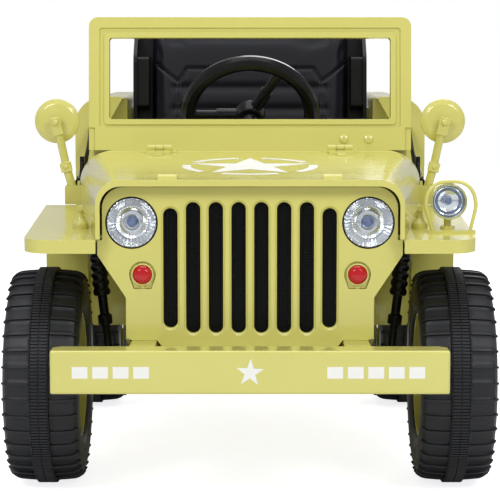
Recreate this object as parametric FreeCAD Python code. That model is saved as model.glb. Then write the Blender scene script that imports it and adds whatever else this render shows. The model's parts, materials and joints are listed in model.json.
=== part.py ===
import FreeCAD, Part
import math
import os

# Child's ride-on army 4x4, battery driven, one seat.
# Millimetres. +Z up, the car faces -Y, +X is the car's left side.
# A station is a place along the car, measured backwards from the front axle.
# The origin is on the floor, at the middle of the whole car's length and width.

# Clearances
SEAT_GAP = 0.2
RUN_GAP = 0.1
EASY_GAP = 0.5
SOFT_GAP = 0.3

# Track and tyres
WHEELBASE = 600.0
TYRE_RADIUS = 150.0
TYRE_WIDTH = 101.0
FRONT_WIDTH_OVER_TYRES = 660.0
REAR_WIDTH_OVER_TYRES = 632.0
FRONT_INNER = FRONT_WIDTH_OVER_TYRES / 2.0 - TYRE_WIDTH
REAR_INNER = REAR_WIDTH_OVER_TYRES / 2.0 - TYRE_WIDTH
RIDGE_WIDTH = 26.0
RIDGE_HEIGHT = 4.5
SHOULDER_DROP = 17.0
SHOULDER_WIDTH = 6.0
LUG_COUNT = 46
LUG_GAP = 3.6
LUG_DEPTH = 6.0
BEAD_INSET = 8.0
BEAD_HEIGHT = 26.0

# Wheel rims
RIM_RADIUS = 88.0
RIM_WALL = 4.0
RIM_EDGE = 6.0
RIM_RECESS = 31.0
DISC_DISH = 8.0
DISC_SLANT = 14.0
HUB_RADIUS = 24.0
HUB_PROUD = 10.0
HUB_INSET = 3.0

# Steered front axle
AXLE_RADIUS = 8.0
AXLE_HEIGHT = TYRE_RADIUS
KINGPIN_X = FRONT_INNER - 33.0
KINGPIN_RADIUS = 5.0
KNUCKLE_RADIUS = 12.0
KNUCKLE_HEIGHT = 36.0
FLANGE_RADIUS = 15.0
YOKE_WALL = 9.0
YOKE_WEB = 8.0
YOKE_REACH = 24.0
AXLE_BEAM_DEPTH = 28.0
AXLE_BEAM_TOP = 15.0
AXLE_BEAM_HEIGHT = 25.0
STEERING_ARM = 60.0
ARM_DROP = 2.0
ARM_THICKNESS = 10.0
ARM_WIDTH = 12.0
TIE_ROD_RADIUS = 5.0
TIE_EYE_RADIUS = 9.0
TIE_PIN_RADIUS = 4.0
TIE_PIN_PROUD = 3.0

# Front struts
STRUT_LEAN = 20.0
STRUT_ROD = 6.0
STRUT_BODY = 10.0
CLAMP_LOW, CLAMP_HIGH = 44.0, 56.0
COIL_RADIUS = 12.0
COIL_PITCH = 12.0
COIL_LOW_SHARE, COIL_HIGH_SHARE = 0.47, 0.92
STRUT_ROOM = KNUCKLE_RADIUS * 4.0

# Chassis
RAIL_X = min(FRONT_INNER - 14.0, REAR_INNER) - 75.0
RAIL_WIDTH = 34.0
RAIL_HEIGHT = 25.0
RAIL_BOTTOM = AXLE_HEIGHT + AXLE_BEAM_TOP
RAIL_TOP = RAIL_BOTTOM + RAIL_HEIGHT
RAIL_INNER = RAIL_X - RAIL_WIDTH / 2.0
RAIL_OUTER = RAIL_X + RAIL_WIDTH / 2.0
RAIL_END_INSET = 20.0
HORN_TOP = 218.0
HORN_LENGTH = 100.0
HORN_SLOPE = 45.0
HANGER_DROP = 27.0
HANGER_LENGTH = 30.0
CROSS_LENGTH = 30.0
CROSS_INSET = 20.0
TAIL_CROSS_INSET = 60.0
BUMPER_HALF = RAIL_X + 114.0
BUMPER_FACE = -240.0
BUMPER_DEPTH = 40.0
BUMPER_BOTTOM = 165.0
BUMPER_HEIGHT = 56.0
BUMPER_BEVEL = 10.0
BUMPER_EDGE = 4.0
BUMPER_BACK = BUMPER_FACE + BUMPER_DEPTH

# Rear gearboxes, measured from the rear axle
CASE_FRONT = 30.0
CASE_KNEE = 60.0
CASE_REAR = 95.0
CASE_DROP, CASE_KNEE_DROP = 28.0, 20.0
CASE_RISE = 28.0
CASE_GAP = 2.0
CASE_TYRE_GAP = 7.0
CASE_CORNER = 14.0
MOTOR_STATION = 72.0
MOTOR_DROP = 3.0
MOTOR_RADIUS = 17.0
MOTOR_LENGTH = 50.0

# Body shell
WALL = 6.0
FLANK_HALF = REAR_WIDTH_OVER_TYRES / 2.0 - 38.0
COWL_HALF = FLANK_HALF - 25.0
TOE_BOARD = 200.0
COWL_REAR = 250.0
COWL_TOP = 451.0
COWL_SHOULDER = 47.0
COWL_SIDE_TOP = 400.0
DOOR_FRONT = 262.0
DOOR_FRONT_REACH = 24.0
DOOR_FRONT_ROUND = 34.0
DOOR_REAR_REACH = 12.0
DOOR_REAR_RISE = 40.0
DOOR_REAR_ROUND = 18.0
SILL_TOP = 300.0
POD_FRONT = 400.0
POD_REAR = WHEELBASE + 180.0
POD_TOP = 527.0
POD_INNER = REAR_INNER - 17.0
POD_SHOULDER = 45.0
POD_INNER_EDGE = 10.0
POD_LAP = 1.0
SCOOP_TOP = POD_TOP - 3.0
SCOOP_NARROW = POD_INNER + 5.0
SCOOP_WIDE = POD_INNER + 48.0
SCOOP_KNEE = 450.0
SCOOP_BOTTOM = 330.0
SCOOP_DEPTH = 45.0
WHEEL_ARCH_RADIUS = 172.0
TAIL_TOP = POD_TOP - 27.0
TAIL_EDGE = 2.5
DASH_DEPTH = 18.0
DASH_TOP = 485.0
DASH_BOTTOM = 330.0
DASH_NARROW = COWL_HALF - 25.0
DASH_FOOT_ROUND = 12.0
DASH_TOP_ROUND = 16.0

# Hood and engine bay
BAY_HALF = FRONT_INNER - 64.0
BAY_WALL = 5.0
HOOD_FRONT = -150.0
HOOD_REAR = TOE_BOARD - 2.0
HOOD_FRONT_HALF = BAY_HALF * 1.225
HOOD_FRONT_TOP = 432.0
HOOD_FRONT_SHOULDER = 33.0
HOOD_WALL = 5.0
HOOD_LIP_LENGTH = 12.0
HOOD_LIP_DEPTH = 9.0
HOOD_LIP_SIDE = 6.0
REST_X = 108.0
REST_WIDTH = 25.0
REST_STATION = HOOD_FRONT + 9.0
REST_LENGTH = 16.0
REST_HEIGHT = 6.5
BATTERY_SIZE = (150.0, 130.0, 105.0)
BATTERY_FRONT = 30.0
BATTERY_EDGE = 4.0

# Front fenders
FENDER_FRONT_TOP = 353.0
FENDER_REAR_TOP = 371.0
FENDER_FRONT_OUT = FRONT_WIDTH_OVER_TYRES / 2.0 - 32.0
FENDER_REAR_OUT = FRONT_WIDTH_OVER_TYRES / 2.0 - 26.0
FENDER_LIP = 18.0
FENDER_WALL = 5.0
FENDER_CORNER = 32.0
FENDER_ENDS = 4.0
SKIRT_BOTTOM = RAIL_TOP + WALL
SKIRT_ROUND = 20.0

# Grille and its lamps
GRILLE_FRONT = -130.0
GRILLE_THICK = 10.0
GRILLE_BACK = GRILLE_FRONT + GRILLE_THICK
GRILLE_TOP = 421.0
GRILLE_TOP_ROUND = 28.0
GRILLE_UPPER_HALF = BAY_HALF * 1.18
GRILLE_EAR_HALF = BAY_HALF * 1.22
GRILLE_EAR_TOP = 351.0
GRILLE_EAR_BOTTOM = 331.0
GRILLE_LOWER_HALF = BAY_HALF - 1.5
GRILLE_LOWER_TOP = 274.0
GRILLE_BOTTOM = HORN_TOP
GRILLE_APRON_HALF = RAIL_INNER - 28.0
GRILLE_APRON_BOTTOM = 180.0
SLOT_COUNT = 8
SLOT_PITCH = BAY_HALF / 5.5
SLOT_WIDTH = SLOT_PITCH - 11.0
SLOT_BEVEL = 3.0
SLOT_REACH = (SLOT_COUNT - 1) / 2.0 * SLOT_PITCH + SLOT_WIDTH / 2.0
SLOT_LOW, SLOT_HIGH = 227.0, 401.0
END_SLOT_LOW, END_SLOT_HIGH = 234.0, 393.0
MESH_THICK = 2.0
MESH_MARGIN = 3.5
MESH_LAP = 5.0
HEADLAMP_X, HEADLAMP_Z = BAY_HALF * 0.945, 374.0
HEADLAMP_RADIUS = BAY_HALF * 0.209
HEADLAMP_DEPTH = 26.0
HEADLAMP_BULGE = 7.0
LAMP_FRONT = GRILLE_FRONT + 2.0
LAMP_BACK = LAMP_FRONT + HEADLAMP_DEPTH + EASY_GAP
LAMP_WALL = 3.0
LAMP_ROUND = 8.0
MARKER_X, MARKER_Z = BAY_HALF * 0.86, 305.5
MARKER_RADIUS = BAY_HALF * 0.106
MARKER_RING_RADIUS = MARKER_RADIUS - 2.7
MARKER_LENS_RADIUS = MARKER_RING_RADIUS - 2.2
MARKER_PROUD = 3.0
MARKER_SINK = 4.0
MARKER_BOTTOM_HALF = MARKER_RADIUS * 0.66
MARKER_DROP = MARKER_RADIUS * 1.1
MARKER_STALK = 3.0
MARKER_DOME = 5.0

# Hood hinges
HINGE_X = 134.0
HINGE_KNUCKLE = 12.0
HINGE_HALF = HINGE_KNUCKLE * 1.5
HINGE_RADIUS = 5.0
HINGE_PIN_RADIUS = 2.0
HINGE_LEAF = 2.5
HINGE_HOOD_LEAF = 40.0
HINGE_COWL_LEAF = 24.0
HINGE_BED = 4.0
HINGE_LINK_START = 1.2
HINGE_TRIM = 20.0

# Fog lamp on the left fender
FOG_X, FOG_STATION, FOG_Z = FENDER_FRONT_OUT - 30.0, -68.0, 397.0
FOG_RADIUS = 24.5
FOG_DEPTH = 30.0
FOG_BULGE = 5.0
FOG_FOOT_STATION = FOG_STATION + 18.0
FOG_FOOT_RADIUS = 5.0
FOG_BASE_RADIUS = 10.0
FOG_BASE_HEIGHT = 7.0
GUARD_STATION = FOG_STATION - 16.0
GUARD_WIRE = 2.5
GUARD_FOOT_IN, GUARD_FOOT_OUT = 22.0, 26.0
GUARD_WAIST_IN, GUARD_WAIST_OUT = 33.0, 35.0
GUARD_TOP_IN, GUARD_TOP_OUT = 28.0, 29.0
GUARD_RISE = 28.0
GUARD_WAIST_DROP = 4.0
GUARD_BEND, GUARD_WAIST_BEND = 26.0, 30.0
GUARD_PLATE_IN, GUARD_PLATE_OUT = 30.0, 34.0
GUARD_PLATE_HALF = 6.0
GUARD_PLATE_HEIGHT = 3.5

# Rubber hood catches
CATCH_STATION = -40.0
CATCH_GAP = 13.0
CATCH_BASE = 11.0
CATCH_BASE_HEIGHT = 9.0
CATCH_NECK = 5.5
CATCH_NECK_HEIGHT = 16.0
CATCH_STEM = 3.5
CATCH_HEIGHT = 30.0
CATCH_GRIP_HALF = 9.0
CATCH_GRIP_RADIUS = 4.0
CATCH_HOOK = 8.0
CATCH_HOOK_LOW, CATCH_HOOK_HIGH = 18.0, 27.0
CATCH_HOOK_RADIUS = 2.5

# Mirrors
MIRROR_BLOCK_WIDTH = 24.0
MIRROR_BLOCK_FRONT, MIRROR_BLOCK_REAR = 208.0, 234.0
MIRROR_BLOCK_LOW, MIRROR_BLOCK_HIGH = 371.0, 399.0
MIRROR_BLOCK_EDGE = 2.0
ARM_FOOT_OUT, ARM_FOOT_STATION = 14.0, 221.0
ARM_ELBOW_OUT, ARM_ELBOW_STATION, ARM_ELBOW_Z = 22.0, 219.0, 427.0
ARM_TIP_OUT, ARM_TIP_STATION, ARM_TIP_Z = 33.0, 203.0, 487.0
ARM_LOWER_RADIUS, ARM_UPPER_RADIUS, ARM_ELBOW_RADIUS = 6.5, 6.0, 8.0
MIRROR_OUT, MIRROR_STATION, MIRROR_Z = 35.0, 224.0, 495.0
MIRROR_RADIUS = 33.0
MIRROR_THICK = 17.0
MIRROR_RIM = 9.0
MIRROR_DOME_RADIUS = 26.0

# Windscreen
SCREEN_STATION = 236.0
SCREEN_RAKE = 6.0
SCREEN_HALF = COWL_HALF - 11.0
SCREEN_HEIGHT = 199.0
SCREEN_THICK = 16.0
SCREEN_CORNER = 14.0
SCREEN_FOOT = 3.0
SCREEN_BAND = 16.0
SCREEN_GROOVE = 3.0
SCREEN_PANEL_TOP = 33.0
SCREEN_PANEL_HALF = SCREEN_HALF - 9.0
WINDOW_HALF = SCREEN_HALF - 31.0
WINDOW_LOW, WINDOW_HIGH = 45.7, 168.0
WINDOW_BAND = 8.0
WINDOW_CORNER = 4.0
KNOB_PLACES = (141.0, 178.0)
KNOB_HEIGHT = 16.0
KNOB_RADIUS = 6.5
KNOB_PROUD = 4.0

# Steering wheel, column and pedal
WHEEL_STATION, WHEEL_Z = 340.0, 500.0
WHEEL_SLOPE = 33.0
WHEEL_RING = 96.0
WHEEL_TUBE = 12.0
WHEEL_TUBE_SIDES = 10
WHEEL_HUB = 24.0
HUB_BACK, HUB_SHOULDER, HUB_FRONT = 14.0, 4.0, 18.0
SPOKE_STEP = 52.0
SPOKE_THICK, SPOKE_THIN = 10.0, 7.5
SPOKE_TURNS = (60.0, 180.0, 300.0)
SHAFT_RADIUS = 8.0
SHAFT_LENGTH = 50.0
COLUMN_RADIUS = 14.0
COLUMN_LENGTH = 130.0
COLUMN_GAP = 2.0
PEDAL_X, PEDAL_WIDTH = -98.0, 44.0
PEDAL_HEEL, PEDAL_TOE = 214.0, 292.0
PEDAL_REACH, PEDAL_TOE_REACH = 36.0, 10.0
PEDAL_ROUND = 3.0

# Seat
SEAT_HALF = POD_INNER - 3.0
SEAT_FRONT = 425.0
SEAT_REAR = 606.0
SEAT_BASE_Z = 300.0
SEAT_TOP = 654.0
SEAT_LEAN = 34.0
SEAT_WALL = 12.0
SEAT_LIP = 5.0
SEAT_TOP_ROUND = 30.0
WING_LOW = SEAT_BASE_Z + 30.0
WING_DEPTH_LOW, WING_DEPTH_HIGH = 60.0, 40.0
WING_TOP = SEAT_TOP - 24.0
BOLSTER_LOW, BOLSTER_HIGH = 504.0, 590.0
BOLSTER_WIDTH = 26.0
BOLSTER_DEPTH = 52.0
BOLSTER_ROUND = 6.0
CHEEK_RISE = 45.0
CHEEK_STEP = 20.0
PAD_HALF = SEAT_HALF - BOLSTER_WIDTH
PAD_THICK = 38.0
PAD_TOP_SHARE = 0.7
PAD_LOW = 356.0
PAD_TOP = SEAT_TOP - 10.0
PAD_ROUND = 12.0
BASE_PAD_HALF = SEAT_HALF - 22.0
BASE_PAD_ROUNDS = (8.0, 14.0)

# Door straps
STRAP_WIDTH = 24.0
STRAP_THICK = 2.5
STRAP_FRONT = 243.0
STRAP_FRONT_Z, STRAP_REAR_Z = 408.0, 459.0
STRAP_SAG_STATION, STRAP_SAG_Z = 315.0, 417.0

# Tail
SPARE_Z = 370.0
SPARE_GAP = 12.0
SPARE_BOSS = HUB_RADIUS + 10.0
BUMPERETTE_DEPTH = 26.0
BUMPERETTE_HEIGHT = 46.0
BUMPERETTE_ROUND = 8.0
BUMPERETTE_INSET = 20.0
BUMPERETTE_LAP = 30.0
TAIL_LAMP_X = FLANK_HALF - 40.0
TAIL_LAMP_Z = 440.0
TAIL_LAMP_RADIUS = 17.0
TAIL_LAMP_EDGE = 7.0
TAIL_LAMP_LENGTH = 14.0

# The front axle's place, from the middle of the bumper's face and the spare tyre's back
REAR_END = POD_REAR + SPARE_GAP + TYRE_WIDTH
FRONT_AXLE = -(BUMPER_FACE + REAR_END) / 2.0


def vec(x, y, z):
    return FreeCAD.Vector(x, y, z)


def at(x, station, z):
    """A point, its length place given as a station."""
    return vec(x, FRONT_AXLE + station, z)


def block(x0, x1, y0, y1, z0, z1):
    """A box between two corners, its length given as stations."""
    return Part.makeBox(x1 - x0, y1 - y0, z1 - z0, at(x0, y0, z0))


def rod(start, end, radius):
    return Part.makeCylinder(radius, (end - start).Length, start, end - start)


def mirrored(shape):
    return shape.mirror(vec(0, 0, 0), vec(1, 0, 0))


def pair(shape):
    """The same piece on both sides, as one compound."""
    return Part.makeCompound([shape, mirrored(shape)])


def rounded_edges(corners, radii, place, closed=True):
    """Edges of an outline whose corners are arcs of the given radii."""
    points = [vec(u, v, 0) for u, v in corners]
    count = len(points)
    edges, first, last = [], None, None
    for i, corner in enumerate(points):
        radius = radii[i]
        ends = not closed and i in (0, count - 1)
        if radius == 0 or ends:
            start = stop = corner
            arc = None
        else:
            back = (points[i - 1] - corner).normalize()
            ahead = (points[(i + 1) % count] - corner).normalize()
            half = back.getAngle(ahead) / 2.0
            reach = radius / math.tan(half)
            start, stop = corner + back * reach, corner + ahead * reach
            centre = corner + (back + ahead).normalize() * (radius / math.sin(half))
            middle = centre + (corner - centre).normalize() * radius
            arc = Part.Arc(place(start.x, start.y), place(middle.x, middle.y),
                           place(stop.x, stop.y)).toShape()
        if last is not None and (start - last).Length > 1e-6:
            edges.append(Part.makeLine(place(last.x, last.y), place(start.x, start.y)))
        if first is None:
            first = start
        if arc is not None:
            edges.append(arc)
        last = stop
    if closed and (first - last).Length > 1e-6:
        edges.append(Part.makeLine(place(last.x, last.y), place(first.x, first.y)))
    return edges


def outline(corners, radii, place):
    return Part.Wire(rounded_edges(corners, radii, place))


def front_view(station):
    return lambda u, v: at(u, station, v)


def side_view(x):
    return lambda u, v: at(x, u, v)


def plan_view(z):
    return lambda u, v: at(u, v, z)


def plate(corners, radii, place, sweep):
    """A solid made by moving a rounded outline along a vector."""
    if not isinstance(radii, (list, tuple)):
        radii = [radii] * len(corners)
    return Part.Face(outline(corners, radii, place)).extrude(sweep)


def eased(profile, radii):
    """The profile with each rounded corner taken as two chords of its arc."""
    points = []
    count = len(profile)
    for i, (u, v) in enumerate(profile):
        corner = vec(u, v, 0)
        if radii[i] == 0:
            points.append((u, v))
            continue
        back = (vec(*profile[i - 1], 0) - corner).normalize()
        ahead = (vec(*profile[(i + 1) % count], 0) - corner).normalize()
        half = back.getAngle(ahead) / 2.0
        reach = radii[i] / math.tan(half)
        middle = corner + (back + ahead).normalize() * (radii[i] / math.sin(half) - radii[i])
        for point in (corner + back * reach, middle, corner + ahead * reach):
            points.append((point.x, point.y))
    return points


def turned(profile, centre, axis, radii=None):
    """A solid of revolution; profile gives (along the axis, radius) pairs."""
    along = FreeCAD.Vector(axis).normalize()
    across = along.cross(vec(0, 0, 1))
    if across.Length < 0.1:
        across = vec(1, 0, 0)
    across = along.cross(across.normalize())
    points = eased(profile, radii) if radii else profile
    face = Part.Face(outline(points, [0] * len(points), lambda u, v: centre + along * u + across * v))
    return face.revolve(centre, along, 360.0)


def symmetric(half):
    """Corners of an outline that is the same left and right."""
    return half + [(-u, v) for u, v in reversed(half)]


def box_corners(u0, u1, v0, v1):
    return [(u0, v0), (u1, v0), (u1, v1), (u0, v1)]


def fender_top(station):
    slope = (FENDER_REAR_TOP - FENDER_FRONT_TOP) / (TOE_BOARD - HOOD_FRONT)
    return FENDER_FRONT_TOP + slope * (station - HOOD_FRONT)


def ring_of_facets(profile, count):
    """A closed solid about +X with one flat facet to each repeat; profile gives (x, radius) pairs."""
    def corner(place, i):
        turn = math.tau * i / count
        return vec(place[0], place[1] * math.sin(turn), place[1] * math.cos(turn))
    faces = []
    for first, second in zip(profile, profile[1:] + profile[:1]):
        for i in range(count):
            facet = [corner(first, i), corner(second, i), corner(second, i + 1), corner(first, i + 1)]
            faces.append(Part.Face(Part.makePolygon(facet + facet[:1])))
    shell = Part.makeShell(faces)
    shell.sewShape()
    solid = Part.makeSolid(shell)
    if solid.Volume < 0:
        solid.reverse()
    return solid.removeSplitter()


def tyre():
    """Tyre along +X from its inner face: raised middle ridge, and a row of lugs on both sides of it."""
    middle = TYRE_WIDTH / 2.0
    lug_top = TYRE_RADIUS - RIDGE_HEIGHT
    ridge = middle - RIDGE_WIDTH / 2.0
    inner = (RIM_RADIUS + SEAT_GAP) / math.cos(math.pi / LUG_COUNT)
    half = [(BEAD_INSET, inner), (0.0, inner + BEAD_HEIGHT), (0.0, TYRE_RADIUS - SHOULDER_DROP),
            (SHOULDER_WIDTH, lug_top), (ridge, lug_top), (ridge, TYRE_RADIUS)]
    carcass = ring_of_facets(half + [(TYRE_WIDTH - u, v) for u, v in reversed(half)], LUG_COUNT)
    reach = LUG_GAP * (LUG_DEPTH + RIDGE_HEIGHT) / LUG_DEPTH / 2.0
    corners = [(-reach, TYRE_RADIUS), (reach, TYRE_RADIUS), (0.0, lug_top - LUG_DEPTH)]
    notches = []
    for start in (-1.0, TYRE_WIDTH - ridge + 1.0):
        notch = plate(corners, 0, lambda u, v: vec(start, u, v), vec(ridge, 0, 0))
        for i in range(LUG_COUNT):
            copy = notch.copy()
            turn = FreeCAD.Rotation(vec(1, 0, 0), 360.0 * i / LUG_COUNT)
            copy.Placement = FreeCAD.Placement(vec(0, 0, 0), turn)
            notches.append(copy)
    return carcass.cut(notches)


def rim():
    """Pressed wheel along +X: barrel, dished disc and a closed hub on a blind bore."""
    bore = AXLE_RADIUS + RUN_GAP
    face = TYRE_WIDTH - RIM_RECESS
    cap = TYRE_WIDTH - HUB_PROUD
    edge = TYRE_WIDTH - RIM_EDGE
    inside = RIM_RADIUS - RIM_WALL
    disc = HUB_RADIUS * 2.0
    profile = [(HUB_INSET, bore), (cap - RIM_WALL * 2, bore), (cap - RIM_WALL * 2, 0), (cap, 0),
               (cap - RIM_WALL, HUB_RADIUS * 0.7), (cap - RIM_WALL * 2, HUB_RADIUS * 0.85),
               (face, HUB_RADIUS), (face, disc), (face - DISC_DISH, inside - DISC_SLANT),
               (face - DISC_DISH, inside),
               (edge, inside), (edge, RIM_RADIUS), (RIM_EDGE, RIM_RADIUS), (RIM_EDGE, inside),
               (face - DISC_DISH - RIM_WALL, inside),
               (face - DISC_DISH - RIM_WALL, inside - DISC_SLANT - 2.0), (face - RIM_WALL, disc - 2.0),
               (face - RIM_WALL, HUB_RADIUS), (HUB_INSET, HUB_RADIUS)]
    return turned(profile, vec(0, 0, 0), vec(1, 0, 0))


def mounted(shape, centre, axis):
    """A wheel piece at its place, its inner face at the centre and its axle along the axis."""
    copy = shape.copy()
    copy.Placement = FreeCAD.Placement(centre, FreeCAD.Rotation(vec(1, 0, 0), axis))
    return copy


def stub_length():
    """Axle length inside the hub, measured from the tyre's inner face."""
    return TYRE_WIDTH - HUB_PROUD - RIM_WALL * 2 - EASY_GAP


def wheel_places():
    return {"front_left": (at(FRONT_INNER, 0, AXLE_HEIGHT), vec(1, 0, 0)),
            "front_right": (at(-FRONT_INNER, 0, AXLE_HEIGHT), vec(-1, 0, 0)),
            "rear_left": (at(REAR_INNER, WHEELBASE, AXLE_HEIGHT), vec(1, 0, 0)),
            "rear_right": (at(-REAR_INNER, WHEELBASE, AXLE_HEIGHT), vec(-1, 0, 0))}


def front_axle_beam():
    """Solid axle with a forked yoke and a fixed kingpin at each end."""
    top = AXLE_HEIGHT + AXLE_BEAM_TOP
    depth = AXLE_BEAM_DEPTH / 2.0
    web = KINGPIN_X - YOKE_REACH
    reach = KNUCKLE_HEIGHT / 2.0 + EASY_GAP
    beam = block(-web, web, -depth, depth, top - AXLE_BEAM_HEIGHT, top)
    yoke = block(web, web + YOKE_WEB, -depth, depth, AXLE_HEIGHT - reach - YOKE_WALL,
                 AXLE_HEIGHT + reach + YOKE_WALL)
    for z in (AXLE_HEIGHT - reach - YOKE_WALL, AXLE_HEIGHT + reach):
        ear = block(web, KINGPIN_X, -KNUCKLE_RADIUS, KNUCKLE_RADIUS, z, z + YOKE_WALL)
        ear = ear.fuse(Part.makeCylinder(KNUCKLE_RADIUS, YOKE_WALL, at(KINGPIN_X, 0, z)))
        yoke = yoke.fuse(ear)
    pin = Part.makeCylinder(KINGPIN_RADIUS, 2 * reach, at(KINGPIN_X, 0, AXLE_HEIGHT - reach))
    yoke = yoke.fuse(pin)
    return beam.fuse(yoke).fuse(mirrored(yoke)).removeSplitter()


def knuckle():
    """Left barrel on the kingpin, wheel stub and forward steering arm with the tie rod's pin."""
    low = AXLE_HEIGHT - KNUCKLE_HEIGHT / 2.0
    barrel = Part.makeCylinder(KNUCKLE_RADIUS, KNUCKLE_HEIGHT, at(KINGPIN_X, 0, low))
    stub = rod(at(KINGPIN_X, 0, AXLE_HEIGHT), at(FRONT_INNER + stub_length(), 0, AXLE_HEIGHT), AXLE_RADIUS)
    flange = rod(at(KINGPIN_X + YOKE_WEB, 0, AXLE_HEIGHT),
                 at(FRONT_INNER + HUB_INSET - EASY_GAP, 0, AXLE_HEIGHT), FLANGE_RADIUS)
    arm_top = AXLE_HEIGHT - ARM_DROP
    arm = block(KINGPIN_X - ARM_WIDTH / 2, KINGPIN_X + ARM_WIDTH / 2, -STEERING_ARM, 0,
                arm_top - ARM_THICKNESS, arm_top)
    eye = Part.makeCylinder(TIE_EYE_RADIUS, ARM_THICKNESS,
                            at(KINGPIN_X, -STEERING_ARM, arm_top - ARM_THICKNESS))
    pin = Part.makeCylinder(TIE_PIN_RADIUS, ARM_THICKNESS + TIE_PIN_PROUD,
                            at(KINGPIN_X, -STEERING_ARM, arm_top - EASY_GAP))
    bore = Part.makeCylinder(KINGPIN_RADIUS + RUN_GAP, KNUCKLE_HEIGHT, at(KINGPIN_X, 0, low))
    return barrel.fuse([stub, flange, arm, eye, pin]).cut(bore).removeSplitter()


def tie_rod():
    """Track rod between the two steering arms, an eye on each pin."""
    low = AXLE_HEIGHT - ARM_DROP + EASY_GAP
    middle = low + ARM_THICKNESS / 2.0
    shape = rod(at(-KINGPIN_X, -STEERING_ARM, middle), at(KINGPIN_X, -STEERING_ARM, middle), TIE_ROD_RADIUS)
    for x in (-KINGPIN_X, KINGPIN_X):
        shape = shape.fuse(Part.makeCylinder(TIE_EYE_RADIUS, ARM_THICKNESS, at(x, -STEERING_ARM, low)))
    for x, gap in ((-KINGPIN_X, EASY_GAP), (KINGPIN_X, RUN_GAP)):
        shape = shape.cut(Part.makeCylinder(TIE_PIN_RADIUS + gap, ARM_THICKNESS + 2,
                                            at(x, -STEERING_ARM, low - 1)))
    return shape.removeSplitter()


def strut():
    """Left coil-over leg between the yoke and the fender, with a clamp near its foot."""
    foot = at(KINGPIN_X, 0, AXLE_HEIGHT + KNUCKLE_HEIGHT / 2.0 + EASY_GAP + YOKE_WALL)
    head = at(KINGPIN_X + STRUT_LEAN, 0, fender_top(0) - FENDER_WALL)
    axis = head - foot
    length = axis.Length
    sleeve = STRUT_ROD + EASY_GAP
    profile = [(-STRUT_BODY, 0.0), (-STRUT_BODY, STRUT_ROD), (CLAMP_LOW - 2.0, STRUT_ROD),
               (CLAMP_LOW, STRUT_BODY), (CLAMP_HIGH, STRUT_BODY), (CLAMP_HIGH + 2.0, sleeve),
               (length * COIL_LOW_SHARE, sleeve)]
    along = length * COIL_LOW_SHARE
    while along + COIL_PITCH < length * COIL_HIGH_SHARE:
        profile += [(along, STRUT_BODY), (along + COIL_PITCH * 0.25, COIL_RADIUS),
                    (along + COIL_PITCH * 0.6, COIL_RADIUS), (along + COIL_PITCH * 0.85, STRUT_BODY)]
        along += COIL_PITCH
    profile += [(along, STRUT_BODY), (length + STRUT_BODY, STRUT_BODY), (length + STRUT_BODY, 0.0)]
    leg = turned(profile, foot, axis)
    room = [(-STRUT_ROOM, foot.z), (STRUT_ROOM, foot.z), (STRUT_ROOM, fender_top(STRUT_ROOM) - FENDER_WALL),
            (-STRUT_ROOM, fender_top(-STRUT_ROOM) - FENDER_WALL)]
    return leg.common(plate(room, 0, side_view(0), vec(FENDER_REAR_OUT, 0, 0)))


def chassis_frame():
    """Two rails with raised front horns, cross-members and rear axle hangers."""
    rail_end = POD_REAR - RAIL_END_INSET
    corners = [(BUMPER_BACK, RAIL_BOTTOM), (rail_end, RAIL_BOTTOM), (rail_end, RAIL_TOP),
               (BUMPER_BACK + HORN_LENGTH + HORN_SLOPE, RAIL_TOP), (BUMPER_BACK + HORN_LENGTH, HORN_TOP),
               (BUMPER_BACK, HORN_TOP)]
    rail = plate(corners, 0, side_view(RAIL_INNER), vec(RAIL_WIDTH, 0, 0))
    hanger = block(RAIL_INNER, RAIL_OUTER, WHEELBASE - HANGER_LENGTH / 2, WHEELBASE + HANGER_LENGTH / 2,
                   RAIL_BOTTOM - HANGER_DROP, RAIL_BOTTOM)
    rail = rail.fuse(hanger)
    frame = rail.fuse(mirrored(rail))
    for station in (TOE_BOARD + CROSS_INSET, SEAT_FRONT + CROSS_INSET, POD_REAR - TAIL_CROSS_INSET):
        frame = frame.fuse(block(-RAIL_INNER, RAIL_INNER, station, station + CROSS_LENGTH, RAIL_BOTTOM,
                                 RAIL_TOP))
    return frame.cut(rear_axle(SEAT_GAP)).removeSplitter()


def front_bumper():
    """Broad channel-like bumper with bevelled back corners and softened edges."""
    corners = symmetric([(BUMPER_HALF, BUMPER_FACE), (BUMPER_HALF, BUMPER_BACK - BUMPER_BEVEL),
                         (BUMPER_HALF - BUMPER_BEVEL, BUMPER_BACK)])
    bar = plate(corners, 0, plan_view(BUMPER_BOTTOM), vec(0, 0, BUMPER_HEIGHT))
    face = FRONT_AXLE + BUMPER_FACE
    edges = [e for e in bar.Edges if abs(e.BoundBox.YMax - face) < 0.01]
    return bar.makeFillet(BUMPER_EDGE, edges)


def rear_axle(gap=0.0):
    reach = REAR_INNER + stub_length()
    return rod(at(-reach, WHEELBASE, AXLE_HEIGHT), at(reach, WHEELBASE, AXLE_HEIGHT), AXLE_RADIUS + gap)


def gearbox():
    """Left reduction case on the rear axle beside the wheel, with its motor can."""
    low, out = RAIL_OUTER + CASE_GAP, REAR_INNER - CASE_TYRE_GAP
    corners = [(WHEELBASE - CASE_FRONT, AXLE_HEIGHT - CASE_DROP),
               (WHEELBASE + CASE_KNEE, AXLE_HEIGHT - CASE_KNEE_DROP), (WHEELBASE + CASE_REAR, AXLE_HEIGHT),
               (WHEELBASE + CASE_REAR, AXLE_HEIGHT + CASE_RISE),
               (WHEELBASE - CASE_FRONT, AXLE_HEIGHT + CASE_RISE)]
    small = CASE_CORNER * 0.7
    case = plate(corners, [CASE_CORNER, CASE_CORNER, small, small, small], side_view(low),
                 vec(out - low, 0, 0))
    motor_z = AXLE_HEIGHT - MOTOR_DROP
    motor = rod(at(low - MOTOR_LENGTH, WHEELBASE + MOTOR_STATION, motor_z),
                at(low, WHEELBASE + MOTOR_STATION, motor_z), MOTOR_RADIUS)
    return case.fuse(motor).cut(rear_axle(SEAT_GAP)).removeSplitter()


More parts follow.
